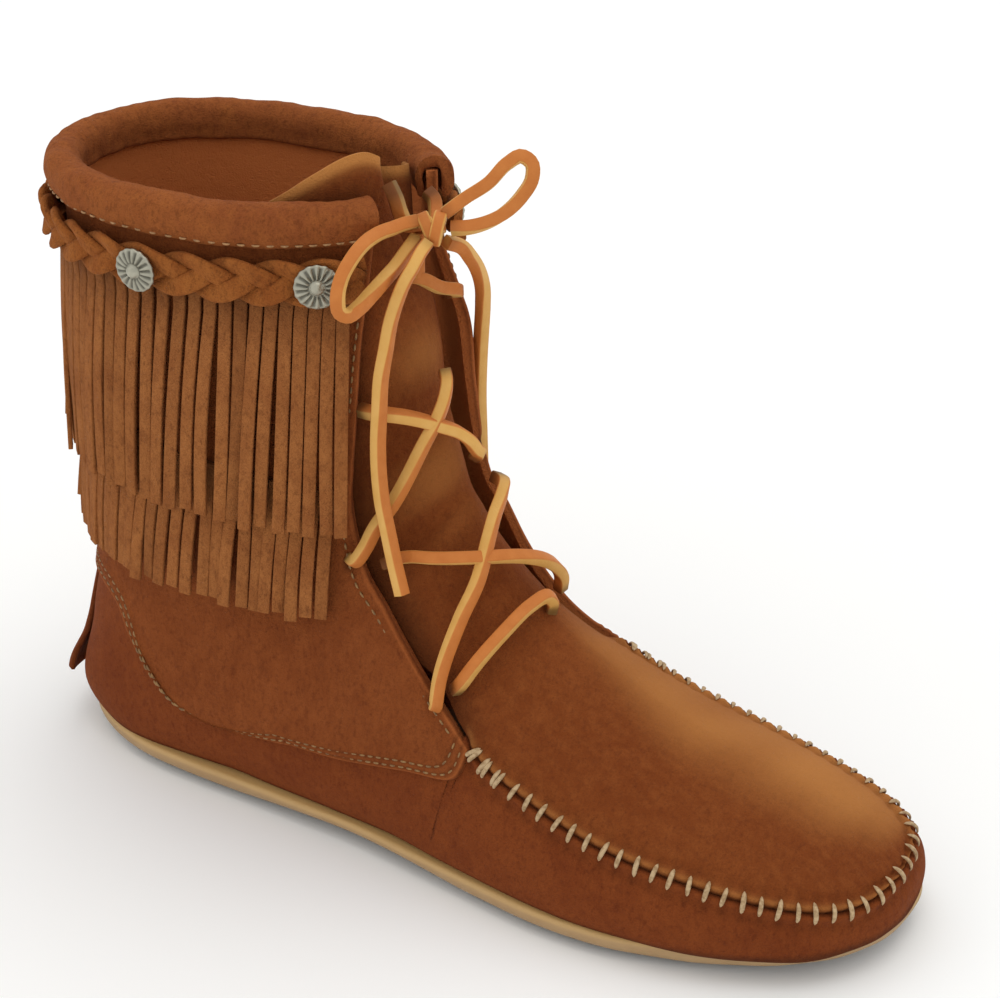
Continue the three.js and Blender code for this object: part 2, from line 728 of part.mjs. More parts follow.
// Places round the shaft, a drop below the collar: share runs from 0 at the outer
// flap's edge by 0.5 at the back to 1 at the inner flap's edge
const FLAP_MARGIN = 0.006;
function onShaft(share, drop, offset) {
  const place = ({ outer, inner }) =>
    share < 0.5
      ? lerp(outer - FLAP_MARGIN, 0, 2 * share)
      : lerp(0, inner - 1 + FLAP_MARGIN, 2 * share - 1);
  const u = belowCollar(drop, place(throatAt(1)));
  return onUpper(u, place(throatAt(u)), offset);
}

// The rolled cuff hooks over the collar's edge: its inner side follows the collar
// from outside over the edge to the lining, and its outer side bulges round it
function cuff() {
  const out = SHORT_LAY;
  const back = -UPPER_WALL - SEAT_GAP - FACET_SAG;
  const lining = back - CUFF_LINING;
  const bulge = out + CUFF_BULGE;
  const edge = -SEAT_GAP;
  const hem = CUFF_LINING_DROP;
  const fold = [
    { drop: CUFF_DROP, lay: out, outerDrop: CUFF_DROP, outerLay: out + 0.45 * CUFF_BULGE },
    { drop: CUFF_DROP / 2, lay: out, outerDrop: CUFF_DROP / 2, outerLay: bulge },
    { drop: edge, lay: out, outerDrop: -0.4 * CUFF_BULGE, outerLay: out + 0.8 * CUFF_BULGE },
    { drop: edge, lay: 0, outerDrop: -CUFF_BULGE, outerLay: 0 },
    { drop: edge, lay: back, outerDrop: -0.5 * CUFF_BULGE, outerLay: lining },
    { drop: hem / 2, lay: back, outerDrop: hem / 2, outerLay: lining },
    { drop: hem, lay: back, outerDrop: hem, outerLay: lining + 0.4 * CUFF_LINING },
  ];
  return blockGeometry(24, fold.length - 1, (i, j, far) => {
    const row = fold[Math.round(j * (fold.length - 1))];
    return far ? onShaft(i, row.outerDrop, row.outerLay) : onShaft(i, row.drop, row.lay);
  });
}

// Height of the plaited strands: two rows of slanted lobes, half a lobe apart
const BRAID_SLANT = 0.35;
function braidHeight(lobes, across) {
  const row = across < 0.5 ? 0 : 1;
  const place = across * 2 - row;
  const slant = (row ? BRAID_SLANT : -BRAID_SLANT) * (place - 0.5);
  const lobe = Math.abs(Math.sin(Math.PI * (lobes + row / 2 + slant))) ** 0.6;
  return BRAID_RELIEF * lobe * Math.sin(Math.PI * clamp(place, 0.12, 0.88)) ** 0.5;
}
function braid() {
  return blockGeometry(3 * BRAID_LOBES, 4, (i, j, far) => {
    const rise = far * (BRAID_WALL + braidHeight(i * BRAID_LOBES, j));
    return onShaft(lerp(0.01, 0.99, i), BRAID_DROP + j * BRAID_WIDTH, BRAID_LAY + rise);
  });
}

// A repeatable number from 0 to 1 for the n-th strip
function hash(n) {
  const value = Math.sin(n * 127.1 + 3.7) * 43758.5453;
  return value - Math.floor(value);
}

// A fringe: a band sewn round the shaft, cut into strips that hang straight down
const FRINGE_START = 0.02;
const FRINGE_END = 0.948;
// The upper's surface at a level, along one turn and all round the back
const upperAtHeight = (z, v, offset) => {
  let [low, high] = [SEAM[2].u, THROAT_TOP];
  for (let i = 0; i < 20; i++) {
    const middle = (low + high) / 2;
    if (onUpper(middle, v, offset).z < z) low = middle;
    else high = middle;
  }
  return onUpper(high, v, offset);
};
function sliceAt(z, offset) {
  const turns = Array.from({ length: 61 }, (_, k) => 0.45 * (k / 30 - 1));
  return turns.map((v) => upperAtHeight(z, v, offset));
}
// How far out along a level direction the upper reaches, seen from a point inside it
function reachAlong(slice, from, away) {
  let reach = 0;
  for (let k = 1; k < slice.length; k++) {
    const [p, q] = [slice[k - 1], slice[k]];
    const side = (point) => (point.x - from.x) * away.y - (point.y - from.y) * away.x;
    const [a, b] = [side(p), side(q)];
    if (a * b > 0 || a === b) continue;
    const point = p.clone().lerp(q, a / (a - b));
    reach = Math.max(reach, (point.x - from.x) * away.x + (point.y - from.y) * away.y);
  }
  return reach;
}
// Shares of a strip's length at which it must stay clear of what is behind it, and
// how far inside its head the reach outwards is measured from
const HANG_CHECKS = [0.2, 0.35, 0.55, 0.75, 1];
const REACH_INSIDE = 40;
function fringe(top, length, lay, clearance, flare) {
  const count = Math.round(SHAFT_ROUND / STRIP_PITCH);
  const half = (STRIP_PITCH - STRIP_GAP) / 2;
  const gapShare = STRIP_GAP / STRIP_PITCH;
  const headZ = onShaft(0.5, top, 0).z;
  const footZ = headZ - length;
  const slices = HANG_CHECKS.map((part) => {
    const z = headZ - part * length;
    return sliceAt(z, clearance(z));
  });
  const points = [];
  const columns = 2 * count;
  for (let k = 0; k < count; k++) {
    const edges = [k + gapShare / 2, k + 1 - gapShare / 2].map((edge) =>
      lerp(FRINGE_START, FRINGE_END, edge / count),
    );
    const middle = (edges[0] + edges[1]) / 2;
    const head = onShaft(middle, top, lay);
    const away = head.clone().sub(onShaft(middle, top, 0)).setZ(0).normalize();
    const aside = new THREE.Vector3(away.y, -away.x, 0);
    const lean = -STRIP_LEAN * length * Math.abs(away.y);
    const swings = HANG_CHECKS.flatMap((part, i) =>
      [-1, 1].map((side) => {
        const inside = head
          .clone()
          .addScaledVector(away, -REACH_INSIDE)
          .addScaledVector(aside, side * half);
        inside.x += part * lean;
        return (reachAlong(slices[i], inside, away) - REACH_INSIDE) / part;
      }),
    );
    const sway = STRIP_SWAY * (2 * hash(k + top) - 1);
    const out = Math.max(...swings) + flare * hash(k + 57 + top);
    const foot = head.clone().addScaledVector(away, out).addScaledVector(aside, sway);
    foot.x += lean;
    foot.z = footZ + STRIP_UNEVEN * hash(k + 11 + top);
    for (const edge of [0, 1])
      for (const side of [0, 1]) {
        const lift = lay + side * STRIP_WALL;
        const band = onShaft(edges[edge], top + FRINGE_BAND, lift);
        const end = foot.clone().addScaledVector(aside, edge ? half : -half);
        end.addScaledVector(away, side * STRIP_WALL);
        points.push(onShaft(edges[edge], top, lift), band, end);
      }
  }
  const id = (column, side, level) => (column * 2 + side) * 3 + level;
  const faces = [];
  const quad = (a, b, c, d) => faces.push([a, b, c], [a, c, d]);
  const wall = (c, d, level) => {
    quad(id(c, 0, level), id(c, 0, level + 1), id(d, 0, level + 1), id(d, 0, level));
    quad(id(c, 1, level), id(d, 1, level), id(d, 1, level + 1), id(c, 1, level + 1));
  };
  const end = columns - 1;
  for (let c = 0; c < end; c++) {
    const d = c + 1;
    wall(c, d, 0);
    quad(id(c, 0, 0), id(d, 0, 0), id(d, 1, 0), id(c, 1, 0));
    if (c % 2) {
      quad(id(c, 0, 1), id(c, 1, 1), id(d, 1, 1), id(d, 0, 1));
      continue;
    }
    wall(c, d, 1);
    quad(id(c, 0, 2), id(c, 1, 2), id(d, 1, 2), id(d, 0, 2));
    quad(id(c, 0, 1), id(c, 1, 1), id(c, 1, 2), id(c, 0, 2));
    quad(id(d, 0, 1), id(d, 0, 2), id(d, 1, 2), id(d, 1, 1));
  }
  quad(id(0, 0, 0), id(0, 1, 0), id(0, 1, 1), id(0, 0, 1));
  quad(id(end, 0, 0), id(end, 0, 1), id(end, 1, 1), id(end, 1, 0));
  return closedGeometry(points, faces);
}

const shortFringe = () =>
  fringe(SHORT_FRINGE_TOP, SHORT_FRINGE_LENGTH, SHORT_LAY, () => SHORT_LAY + 2 * FACET_SAG, 1);
function longFringe() {
  const shortTop = onShaft(0.5, SHORT_FRINGE_TOP, 0).z + 2;
  const overShort = SHORT_LAY + STRIP_WALL + SEAT_GAP + FACET_SAG + STRIP_SWING;
  const clearance = (z) => (z < shortTop ? overShort : SHORT_LAY);
  return fringe(LONG_FRINGE_TOP, LONG_FRINGE_LENGTH, LONG_LAY, clearance, 1.5);
}

// A domed metal button with a rim, seated on the braid
function concho() {
  const profile = [
    [0, 0],
    [CONCHO_RADIUS, 0],
    [CONCHO_RADIUS, CONCHO_RIM],
    [0.7 * CONCHO_RADIUS, CONCHO_RIM + 0.6 * CONCHO_DOME],
    [0, CONCHO_RIM + CONCHO_DOME],
  ].map(([x, y]) => new THREE.Vector2(x, y));
  return new THREE.LatheGeometry(profile, 12);
}
const CONCHO_PLACES = [
  { name: "concho_outer_front", share: 0.06 },
  { name: "concho_outer_back", share: 0.22 },
  { name: "concho_inner_back", share: 0.78 },
  { name: "concho_inner_front", share: 0.94 },
];
function seatConcho(mesh, share) {
  const middle = BRAID_DROP + BRAID_WIDTH / 2;
  const place = onShaft(share, middle, BRAID_LAY + BRAID_WALL + BRAID_RELIEF + 2 * SEAT_GAP);
  const outwards = place.clone().sub(onShaft(share, middle, 0)).normalize();
  mesh.position.copy(place);
  mesh.quaternion.setFromUnitVectors(new THREE.Vector3(0, 1, 0), outwards);
}

// The heel tab: a stiff strip up the back seam whose foot stands off the heel
function heelTab() {
  const { foot, top, footHalf, topHalf, stand } = HEEL_TAB;
  return blockGeometry(7, 6, (i, j, far) => {
    const u = belowCollar(COLLAR_HEIGHT - lerp(foot, top, i), 0);
    const halfTurn = lerp(footHalf, topHalf, i) / (SHAFT_ROUND / 2);
    const lay = SEAT_GAP + FACET_SAG + stand * (1 - smoothstep(i, 0, 0.4));
    return onLast(u, lerp(halfTurn, -halfTurn, j), far ? lay + UPPER_WALL : lay);
  });
}

// A square rawhide lace along points, as one closed strap
function laceGeometry(points, steps) {
  const extrudePath = new THREE.CatmullRomCurve3(points);
  const square = new THREE.Shape(
    [[-1, -1], [1, -1], [1, 1], [-1, 1]].map(
      ([a, b]) => new THREE.Vector2((a * LACE) / 2, (b * LACE) / 2),
    ),
  );
  return new THREE.ExtrudeGeometry(square, { steps, extrudePath, bevelEnabled: false });
}

// Bars of the lace over the throat, from the outer flap to the inner one, as
// places on the last, all at one lift off it
const CROSSINGS = [
  { bar: 1, u: 0.446, v: 0.346 },
  { bar: 1, u: 0.436, v: 0.369 },
  { bar: 1, u: 0.434, v: 0.389 },
  { bar: 1, u: 0.429, v: 0.426 },
  { bar: 1, u: 0.424, v: 0.462 },
  { bar: 1, u: 0.417, v: 0.492 },
  { bar: 1, u: 0.41, v: 0.53 },
  { bar: 2, u: 0.446, v: 0.346 },
  { bar: 2, u: 0.462, v: 0.377 },
  { bar: 2, u: 0.476, v: 0.406 },
  { bar: 2, u: 0.491, v: 0.437 },
  { bar: 2, u: 0.522, v: 0.464 },
  { bar: 2, u: 0.56, v: 0.484 },
  { bar: 2, u: 0.63, v: 0.51 },
  { bar: 3, u: 0.628, v: 0.377 },
  { bar: 3, u: 0.604, v: 0.396 },
  { bar: 3, u: 0.556, v: 0.418 },
  { bar: 3, u: 0.514, v: 0.447 },
  { bar: 3, u: 0.475, v: 0.484 },
  { bar: 3, u: 0.448, v: 0.51 },
  { bar: 3, u: 0.41, v: 0.53 },
  { bar: 4, u: 0.628, v: 0.377 },
  { bar: 4, u: 0.645, v: 0.395 },
  { bar: 4, u: 0.66, v: 0.414 },
  { bar: 4, u: 0.7, v: 0.444 },
  { bar: 4, u: 0.73, v: 0.463 },
  { bar: 4, u: 0.764, v: 0.478 },
  { bar: 4, u: 0.78, v: 0.505 },
  { bar: 5, u: 0.775, v: 0.396 },
  { bar: 5, u: 0.743, v: 0.433 },
  { bar: 5, u: 0.709, v: 0.46 },
  { bar: 5, u: 0.687, v: 0.474 },
  { bar: 5, u: 0.665, v: 0.487 },
  { bar: 5, u: 0.63, v: 0.51 },
];
const TOP_BARS = [
  { bar: 1, u: 0.858, v: 0.525 },
  { bar: 1, u: 0.882, v: 0.5 },
  { bar: 1, u: 0.909, v: 0.473 },
  { bar: 2, u: 0.909, v: 0.473 },
  { bar: 2, u: 0.937, v: 0.478 },
  { bar: 2, u: 0.976, v: 0.473 },
  { bar: 3, u: 0.976, v: 0.473 },
  { bar: 3, u: 0.991, v: 0.465 },
  { bar: 3, u: 1.003, v: 0.463 },
  { bar: 4, u: 0.976, v: 0.473 },
  { bar: 4, u: 0.971, v: 0.5 },
  { bar: 4, u: 0.965, v: 0.53 },
  { bar: 5, u: 0.965, v: 0.53 },
  { bar: 5, u: 0.98, v: 0.532 },
  { bar: 5, u: 0.995, v: 0.532 },
];
function laceBars(table, lift) {
  const count = table[table.length - 1].bar;
  const solids = Array.from({ length: count }, (_, k) => {
    const rows = table.filter((row) => row.bar === k + 1);
    const points = rows.map(({ u, v }) => onUpper(u, v, lift));
    return solidOf(laceGeometry(points, Math.round(LACE_STEPS * rows.length)));
  });
  return geometryOf(solids.reduce((all, bar) => all.add(bar)));
}

// The bow: a knot on the top bar, two loops and two hanging ends, each on a route
// chosen by hand in millimetres
const LOOP_BACK = [
  { x: 80.2, y: -9.6, z: 182.2 },
  { x: 78.4, y: -12.4, z: 182 },
  { x: 77.3, y: -16.4, z: 182 },
  { x: 76.4, y: -22.6, z: 182.3 },
  { x: 75.7, y: -28, z: 181.4 },
  { x: 75, y: -33, z: 178.7 },
  { x: 74.3, y: -36.6, z: 174.7 },
  { x: 74.7, y: -39, z: 170.5 },
  { x: 75.2, y: -38.9, z: 167.1 },
  { x: 76.2, y: -36.8, z: 165.5 },
  { x: 77, y: -33.3, z: 166.2 },
  { x: 77.7, y: -28, z: 168.2 },
  { x: 78.5, y: -22.9, z: 170.5 },
  { x: 79.2, y: -18, z: 172.7 },
  { x: 79.6, y: -13.6, z: 175.2 },
  { x: 79.9, y: -9.5, z: 177.4 },
];
const LOOP_FRONT = [
  { x: 85.8, y: -4.8, z: 183.9 },
  { x: 90, y: -2, z: 187.8 },
  { x: 95.1, y: 1.1, z: 192 },
  { x: 98.7, y: 4.3, z: 196.9 },
  { x: 101.5, y: 6.2, z: 198.7 },
  { x: 104.2, y: 6.7, z: 197.2 },
  { x: 104.9, y: 5.9, z: 193.7 },
  { x: 103.2, y: 3.8, z: 189.2 },
  { x: 100.2, y: 1.1, z: 185.2 },
  { x: 96.4, y: -1.3, z: 182.5 },
  { x: 92.2, y: -3.3, z: 180.9 },
  { x: 87.9, y: -5.2, z: 180.3 },
];
const END_FRONT = [
  { x: 86.6, y: -5.1, z: 176.2 },
  { x: 88.3, y: -1.2, z: 174.2 },
  { x: 89, y: 3.6, z: 169.4 },
  { x: 88.8, y: 8.7, z: 163.3 },
  { x: 88, y: 12.4, z: 157.5 },
  { x: 86.6, y: 15.4, z: 151 },
  { x: 84.5, y: 18.9, z: 141.8 },
  { x: 83, y: 21.2, z: 132.2 },
  { x: 82.4, y: 22.2, z: 121.4 },
  { x: 82, y: 24, z: 108.6 },
  { x: 81.9, y: 25.5, z: 94.5 },
];
const END_BACK = [
  { x: 84.4, y: -11.6, z: 177.5 },
  { x: 84.6, y: -15.1, z: 176.4 },
  { x: 84.6, y: -18.6, z: 174 },
  { x: 83.5, y: -20.9, z: 170.6 },
  { x: 82, y: -22.2, z: 165.6 },
  { x: 80.5, y: -23.2, z: 159 },
  { x: 79.9, y: -24.3, z: 152.4 },
  { x: 79.3, y: -25.9, z: 144.1 },
  { x: 80, y: -27.9, z: 136.2 },
  { x: 79.9, y: -28.4, z: 126.6 },
  { x: 80.3, y: -28.6, z: 118 },
  { x: 81.3, y: -28.7, z: 110 },
  { x: 83.3, y: -29.1, z: 102.1 },
  { x: 85.8, y: -30.1, z: 94.2 },
  { x: 89.2, y: -31.8, z: 86 },
];
function cord(route) {
  const points = route.map(({ x, y, z }) => new THREE.Vector3(x, y, z));
  return laceGeometry(points, Math.round(LACE_STEPS * route.length));
}
function knot() {
  const ball = new THREE.SphereGeometry(1, 10, 7);
  ball.scale(KNOT.across, KNOT.deep, KNOT.tall);
  ball.translate(KNOT.x, KNOT.y, KNOT.z);
  return ball;
}

const group = new THREE.Group();
function add(name, geometry, colour, roughness = 0.9, metalness = 0) {
  const mesh = new THREE.Mesh(
    geometry,
    new THREE.MeshStandardMaterial({ color: colour, roughness, metalness }),
  );
  mesh.name = name;
  group.add(mesh);
  return mesh;
}

add("outsole", outsole(), COLOURS.rubber, 0.7);
add("insole", insole(), COLOURS.insole);
add("upper", upper(), COLOURS.suede);
add("tongue", tongue(), COLOURS.suede);
add("heel_tab", heelTab(), COLOURS.suedeDark);
add("cuff", cuff(), COLOURS.suede);
add("braid", braid(), COLOURS.suedeDark);
add("fringe_short", shortFringe(), COLOURS.suede);
add("fringe_long", longFringe(), COLOURS.suede);
for (const { name, share } of CONCHO_PLACES)
  seatConcho(add(name, concho(), COLOURS.silver, 0.35, 1), share);
add("lace_crossings", laceBars(CROSSINGS, LACE_LIFT), COLOURS.lace);
add("lace_top", laceBars(TOP_BARS, TOP_LACE_LIFT), COLOURS.lace);
add("lace_knot", knot(), COLOURS.lace);
add("lace_loop_back", cord(LOOP_BACK), COLOURS.lace);
add("lace_loop_front", cord(LOOP_FRONT), COLOURS.lace);
add("lace_end_front", cord(END_FRONT), COLOURS.lace);
add("lace_end_back", cord(END_BACK), COLOURS.lace);

export default group;
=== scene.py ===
import math

import bpy
import numpy as np
from mathutils import Matrix, Vector


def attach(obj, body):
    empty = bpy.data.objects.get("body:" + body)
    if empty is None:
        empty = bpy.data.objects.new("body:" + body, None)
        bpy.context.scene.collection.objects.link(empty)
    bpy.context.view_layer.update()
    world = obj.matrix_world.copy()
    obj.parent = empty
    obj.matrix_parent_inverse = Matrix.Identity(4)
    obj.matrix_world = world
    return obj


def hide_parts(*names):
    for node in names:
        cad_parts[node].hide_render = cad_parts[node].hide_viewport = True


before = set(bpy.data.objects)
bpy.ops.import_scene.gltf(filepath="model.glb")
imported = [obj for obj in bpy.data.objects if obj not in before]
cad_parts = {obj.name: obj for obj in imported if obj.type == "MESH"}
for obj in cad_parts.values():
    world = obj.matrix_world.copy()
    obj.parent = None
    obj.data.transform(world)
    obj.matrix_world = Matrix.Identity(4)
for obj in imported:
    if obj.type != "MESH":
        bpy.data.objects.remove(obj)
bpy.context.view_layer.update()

MM = 0.001
TURN = 2 * math.pi

# Driving dimensions, as in the part
LENGTH, BALL_WIDTH, INSTEP_HEIGHT, COLLAR_HEIGHT, HEEL_SET = 258, 92, 84, 183, 32
LUG_HEIGHT, SOLE_BODY, TOE_SPRING, SPRING_START, ARCH_RISE = 2, 6, 3, 0.72, 1.2
SOLE_TOP = LUG_HEIGHT + SOLE_BODY
LUG_PITCH, LUG_MARGIN = 19, 8
UPPER_WALL, QUARTER_STEP, TONGUE_WALL, SEAT_GAP, SAG = 1.8, 1.3, 1.6, 0.3, 0.4
INNER_FLAP_LIFT, OUTER_FLAP_LIFT = 5, 1.8
BRAID_DROP, BRAID_WIDTH = 8.5, 13.5
SHAFT_ROUND, STRIP_WALL, FRINGE_BAND = 232, 1.3, 6
LACE = 3.3
SHORT_LAY = QUARTER_STEP + SEAT_GAP + SAG
LONG_LAY = SHORT_LAY + 0.6 * STRIP_WALL
BRAID_LAY = LONG_LAY + STRIP_WALL + SEAT_GAP

# Sole outline, heel by the outer side to the toe and back: share of LENGTH, share of
# BALL_WIDTH
OUTLINE = [
    (0.0, 0.0), (0.03, -0.2), (0.12, -0.33), (0.25, -0.36), (0.42, -0.385),
    (0.58, -0.455), (0.7, -0.485), (0.82, -0.42), (0.92, -0.295), (0.98, -0.13),
    (1.0, 0.07), (0.985, 0.235), (0.92, 0.38), (0.82, 0.455), (0.7, 0.485),
    (0.58, 0.42), (0.42, 0.33), (0.25, 0.335), (0.12, 0.32), (0.03, 0.2),
]
# Sections: top x, top level, low x, low level, inner, outer, belly, crown, base
SECTIONS = [
    (1.0, 0.2, 1.0, 0.13, 0.12, 0.01, 0.5, 2.0, 2.0),
    (0.985, 0.31, 0.99, 0.065, 0.25, 0.13, 0.4, 2.0, 2.2),
    (0.945, 0.4, 0.955, 0.03, 0.345, 0.27, 0.33, 1.95, 2.5),
    (0.88, 0.49, 0.89, 0.02, 0.41, 0.388, 0.29, 1.84, 2.8),
    (0.8, 0.57, 0.8, 0.015, 0.45, 0.465, 0.27, 1.76, 3.0),
    (0.71, 0.66, 0.7, 0.015, 0.465, 0.497, 0.26, 1.7, 3.0),
    (0.625, 0.805, 0.59, 0.015, 0.425, 0.475, 0.26, 1.72, 3.0),
    (0.555, 0.99, 0.44, 0.015, 0.365, 0.42, 0.27, 1.8, 3.0),
    (0.505, 1.15, 0.25, 0.015, 0.338, 0.385, 0.3, 1.88, 3.0),
    (0.48, 1.27, 0.05, 0.012, 0.335, 0.37, 0.35, 1.95, 3.0),
    (0.466, 1.37, -0.002, 0.13, 0.335, 0.365, 0.41, 2.0, 2.7),
    (0.455, 1.46, 0.012, 0.43, 0.34, 0.365, 0.46, 2.0, 2.4),
    (0.44, 1.62, 0.034, 0.95, 0.355, 0.375, 0.48, 2.1, 2.2),
    (0.425, 1.8, 0.024, 1.48, 0.38, 0.39, 0.49, 2.1, 2.2),
    (0.415, 2.03, 0.012, 2.0, 0.405, 0.41, 0.5, 2.1, 2.2),
    (0.412, 2.19, 0.008, 2.16, 0.41, 0.415, 0.5, 2.1, 2.2),
]
COLLAR_SECTION = len(SECTIONS) - 2
# The u at which the throat starts
THROAT_START = 0.38
# Places on the last: u from the toe tip to the collar, v a turn round the section
SEAM = np.array([
    (0.412, 0.343), (0.384, 0.333), (0.301, 0.331), (0.203, 0.326), (0.111, 0.32),
    (0.06, 0.335), (0.037, 0.4), (0.031, 0.48), (0.038, 0.56), (0.062, 0.615),
    (0.111, 0.633), (0.203, 0.628), (0.29, 0.612), (0.35, 0.597),
])
SEAM_TOE_SHARE = 7 / (len(SEAM) - 1)
# The throat by height: u, outer v, inner v
THROAT = np.array([
    (0.38, 0.348, 0.592), (0.45, 0.363, 0.578), (0.52, 0.377, 0.566), (0.61, 0.389, 0.556),
    (0.73, 0.391, 0.551), (0.82, 0.402, 0.556), (0.92, 0.424, 0.561), (1.1, 0.452, 0.566),
])
QUARTER_EDGE = np.array([
    (0.4, 0.336), (0.404, 0.306), (0.446, 0.281), (0.5, 0.254), (0.557, 0.237),
    (0.6, 0.236), (0.645, 0.228), (0.685, 0.205), (0.728, 0.145), (0.75, 0.07),
    (0.757, 0.0), (0.75, -0.07), (0.728, -0.145), (0.685, -0.205), (0.645, -0.228),
    (0.6, -0.236), (0.557, -0.237), (0.5, -0.254), (0.446, -0.284), (0.38, -0.335),
    (0.352, -0.392),
])
# Bars of the lace over the throat: a twist in degrees that shows its pale cut side,
# then the places it passes as u, v and the lift off the last
CROSSINGS = [
    (-20, [(0.441, 0.362, -0.5), (0.437, 0.371, 2), (0.434, 0.389, 4), (0.429, 0.426, 4.3),
           (0.424, 0.462, 4.3), (0.417, 0.486, 4), (0.408, 0.497, 2.2), (0.4, 0.505, -1.5)]),
    (42, [(0.449, 0.343, 0.2), (0.447, 0.346, 2.6), (0.455, 0.362, 4.2), (0.476, 0.406, 4.3),
          (0.491, 0.437, 4.3), (0.522, 0.464, 4.3), (0.545, 0.48, 4.1), (0.565, 0.497, 3.4),
          (0.585, 0.515, 2), (0.6, 0.535, -0.5)]),
    (-10, [(0.6, 0.39, -0.8), (0.59, 0.402, 2.2), (0.575, 0.41, 3.9), (0.556, 0.418, 4.3),
           (0.514, 0.447, 4.3), (0.475, 0.484, 4.3), (0.454, 0.512, 4.3), (0.438, 0.54, 4),
           (0.425, 0.565, 2.6), (0.42, 0.576, 0.4)]),
    (42, [(0.632, 0.373, 0.2), (0.629, 0.377, 2.8), (0.636, 0.387, 4.2), (0.645, 0.395, 4.3),
          (0.656, 0.412, 4.3), (0.7, 0.444, 4.3), (0.725, 0.459, 4.2),
          (0.745, 0.469, 3.6), (0.76, 0.477, 2.2), (0.769, 0.482, 0.4)]),
    (-75, [(0.775, 0.392, -0.6), (0.77, 0.402, 2.4), (0.763, 0.413, 4), (0.743, 0.433, 4.3),
           (0.709, 0.46, 4.3), (0.687, 0.474, 4.3), (0.668, 0.483, 4.2), (0.657, 0.488, 3.4),
           (0.649, 0.496, 1.6), (0.645, 0.5, -1)]),
]
TOP_BARS = [
    (0, [(0.915, 0.462, 1), (0.909, 0.473, 2), (0.882, 0.5, 2), (0.868, 0.521, 2.4),
         (0.86, 0.533, 1.4), (0.858, 0.539, -1)]),
    (60, [(1.014, 0.462, -1.5), (1.003, 0.463, 0.8), (0.991, 0.465, 1.6), (0.98, 0.47, 2),
          (0.974, 0.484, 2.4), (0.97, 0.5, 3)]),
    (60, [(0.99, 0.536, -1), (0.984, 0.532, 1), (0.975, 0.523, 2), (0.966, 0.512, 3)]),
    (0, [(0.909, 0.473, 2), (0.937, 0.478, 2.4), (0.965, 0.484, 3)]),
]
# The bow's routes as x, y, z, and how each lace turns on its way, in degrees from the
# side that looks to the front of the outer side
KNOT = (84.2, -7.5, 180.4)
OUTER_FRONT = np.array([0.401, -0.781, 0.479])
LOOP_BACK = [
    (80.2, -9.6, 182.2), (78.4, -12.4, 182), (77.3, -16.4, 182), (76.4, -22.6, 182.3),
    (75.7, -28, 181.4), (75, -33, 178.7), (74.3, -36.6, 174.7), (74.7, -39, 170.5),
    (75.2, -38.9, 167.1), (76.2, -36.8, 165.5), (77, -33.3, 166.2), (77.7, -28, 168.2),
    (78.5, -22.9, 170.5), (79.2, -18, 172.7), (79.6, -13.6, 175.2), (79.9, -9.5, 177.4),
]
LOOP_FRONT = [
    (85.8, -4.8, 183.9), (90, -2, 187.8), (95.1, 1.1, 192), (98.7, 4.3, 196.9),
    (101.5, 6.2, 198.7), (104.2, 6.7, 197.2), (104.9, 5.9, 193.7), (103.2, 3.8, 189.2),
    (100.2, 1.1, 185.2), (96.4, -1.3, 182.5), (92.2, -3.3, 180.9), (87.9, -5.2, 180.3),
]
END_FRONT = [
    (86.6, -5.1, 176.2), (88.3, -1.2, 174.2), (89, 3.6, 169.4), (88.8, 8.7, 163.3),
    (88, 12.4, 157.5), (86.6, 15.4, 151), (84.5, 18.9, 141.8), (83, 21.2, 132.2),
    (82.4, 22.2, 121.4), (82, 24, 108.6), (81.9, 25.5, 94.5),
]
END_BACK = [
    (84.4, -11.6, 177.5), (84.6, -15.1, 176.4), (84.6, -18.6, 174), (83.5, -20.9, 170.6),
    (82, -22.2, 165.6), (80.5, -23.2, 159), (79.9, -24.3, 152.4), (79.3, -25.9, 144.1),
    (80, -27.9, 136.2), (79.9, -28.4, 126.6), (80.3, -28.6, 118), (81.3, -28.7, 110),
    (83.3, -29.1, 102.1), (85.8, -30.1, 94.2), (89.2, -31.8, 86),
]
LOOP_BACK_TURNS = (0, 5, 15, 60, 85)
LOOP_FRONT_TURNS = (10, 0, -15, 25)
END_FRONT_TURNS = (30, 50, 45)
END_BACK_TURNS = (-95, -75, -50, -45, -45)


def lerp(a, b, t):
    """From a to b by the share t."""
    return a + (b - a) * t


def step(value, low, high):
    """Smooth step from 0 at low to 1 at high."""
    t = np.clip((np.asarray(value, float) - low) / (high - low), 0, 1)
    return t * t * (3 - 2 * t)


def bell(value, middle, reach):
    """1 at the middle, falling off smoothly over the reach."""
    return np.exp(-(((value - middle) / reach) ** 2))


def mounds(u, v, table):
    """Height of soft bulges, dips and creases: u, v, reach in u, reach in v, height."""
    total = np.zeros_like(u)
    for at_u, at_v, reach_u, reach_v, height in table:
        total += height * np.exp(-(((u - at_u) / reach_u) ** 2) - ((v - at_v) / reach_v) ** 2)
    return total


def smooth_rows(rows, knots, t):
    """Rows of a table at the places t between its knots."""
    rows, knots, t = (np.asarray(x, float) for x in (rows, knots, t))
    gap = np.diff(knots)[:, None]
    rise = np.diff(rows, axis=0) / gap
    slope = np.empty_like(rows)
    slope[0], slope[-1] = rise[0], rise[-1]
    slope[1:-1] = (rise[:-1] * gap[1:] + rise[1:] * gap[:-1]) / (gap[1:] + gap[:-1])
    i = np.clip(np.searchsorted(knots, t, side="left"), 1, len(knots) - 1)
    span = (knots[i] - knots[i - 1])[..., None]
    w = (t - knots[i - 1])[..., None] / span
    return (
        (2 * w**3 - 3 * w**2 + 1) * rows[i - 1]
        + (w**3 - 2 * w**2 + w) * slope[i - 1] * span
        + (3 * w**2 - 2 * w**3) * rows[i]
        + (w**3 - w**2) * slope[i] * span
    )


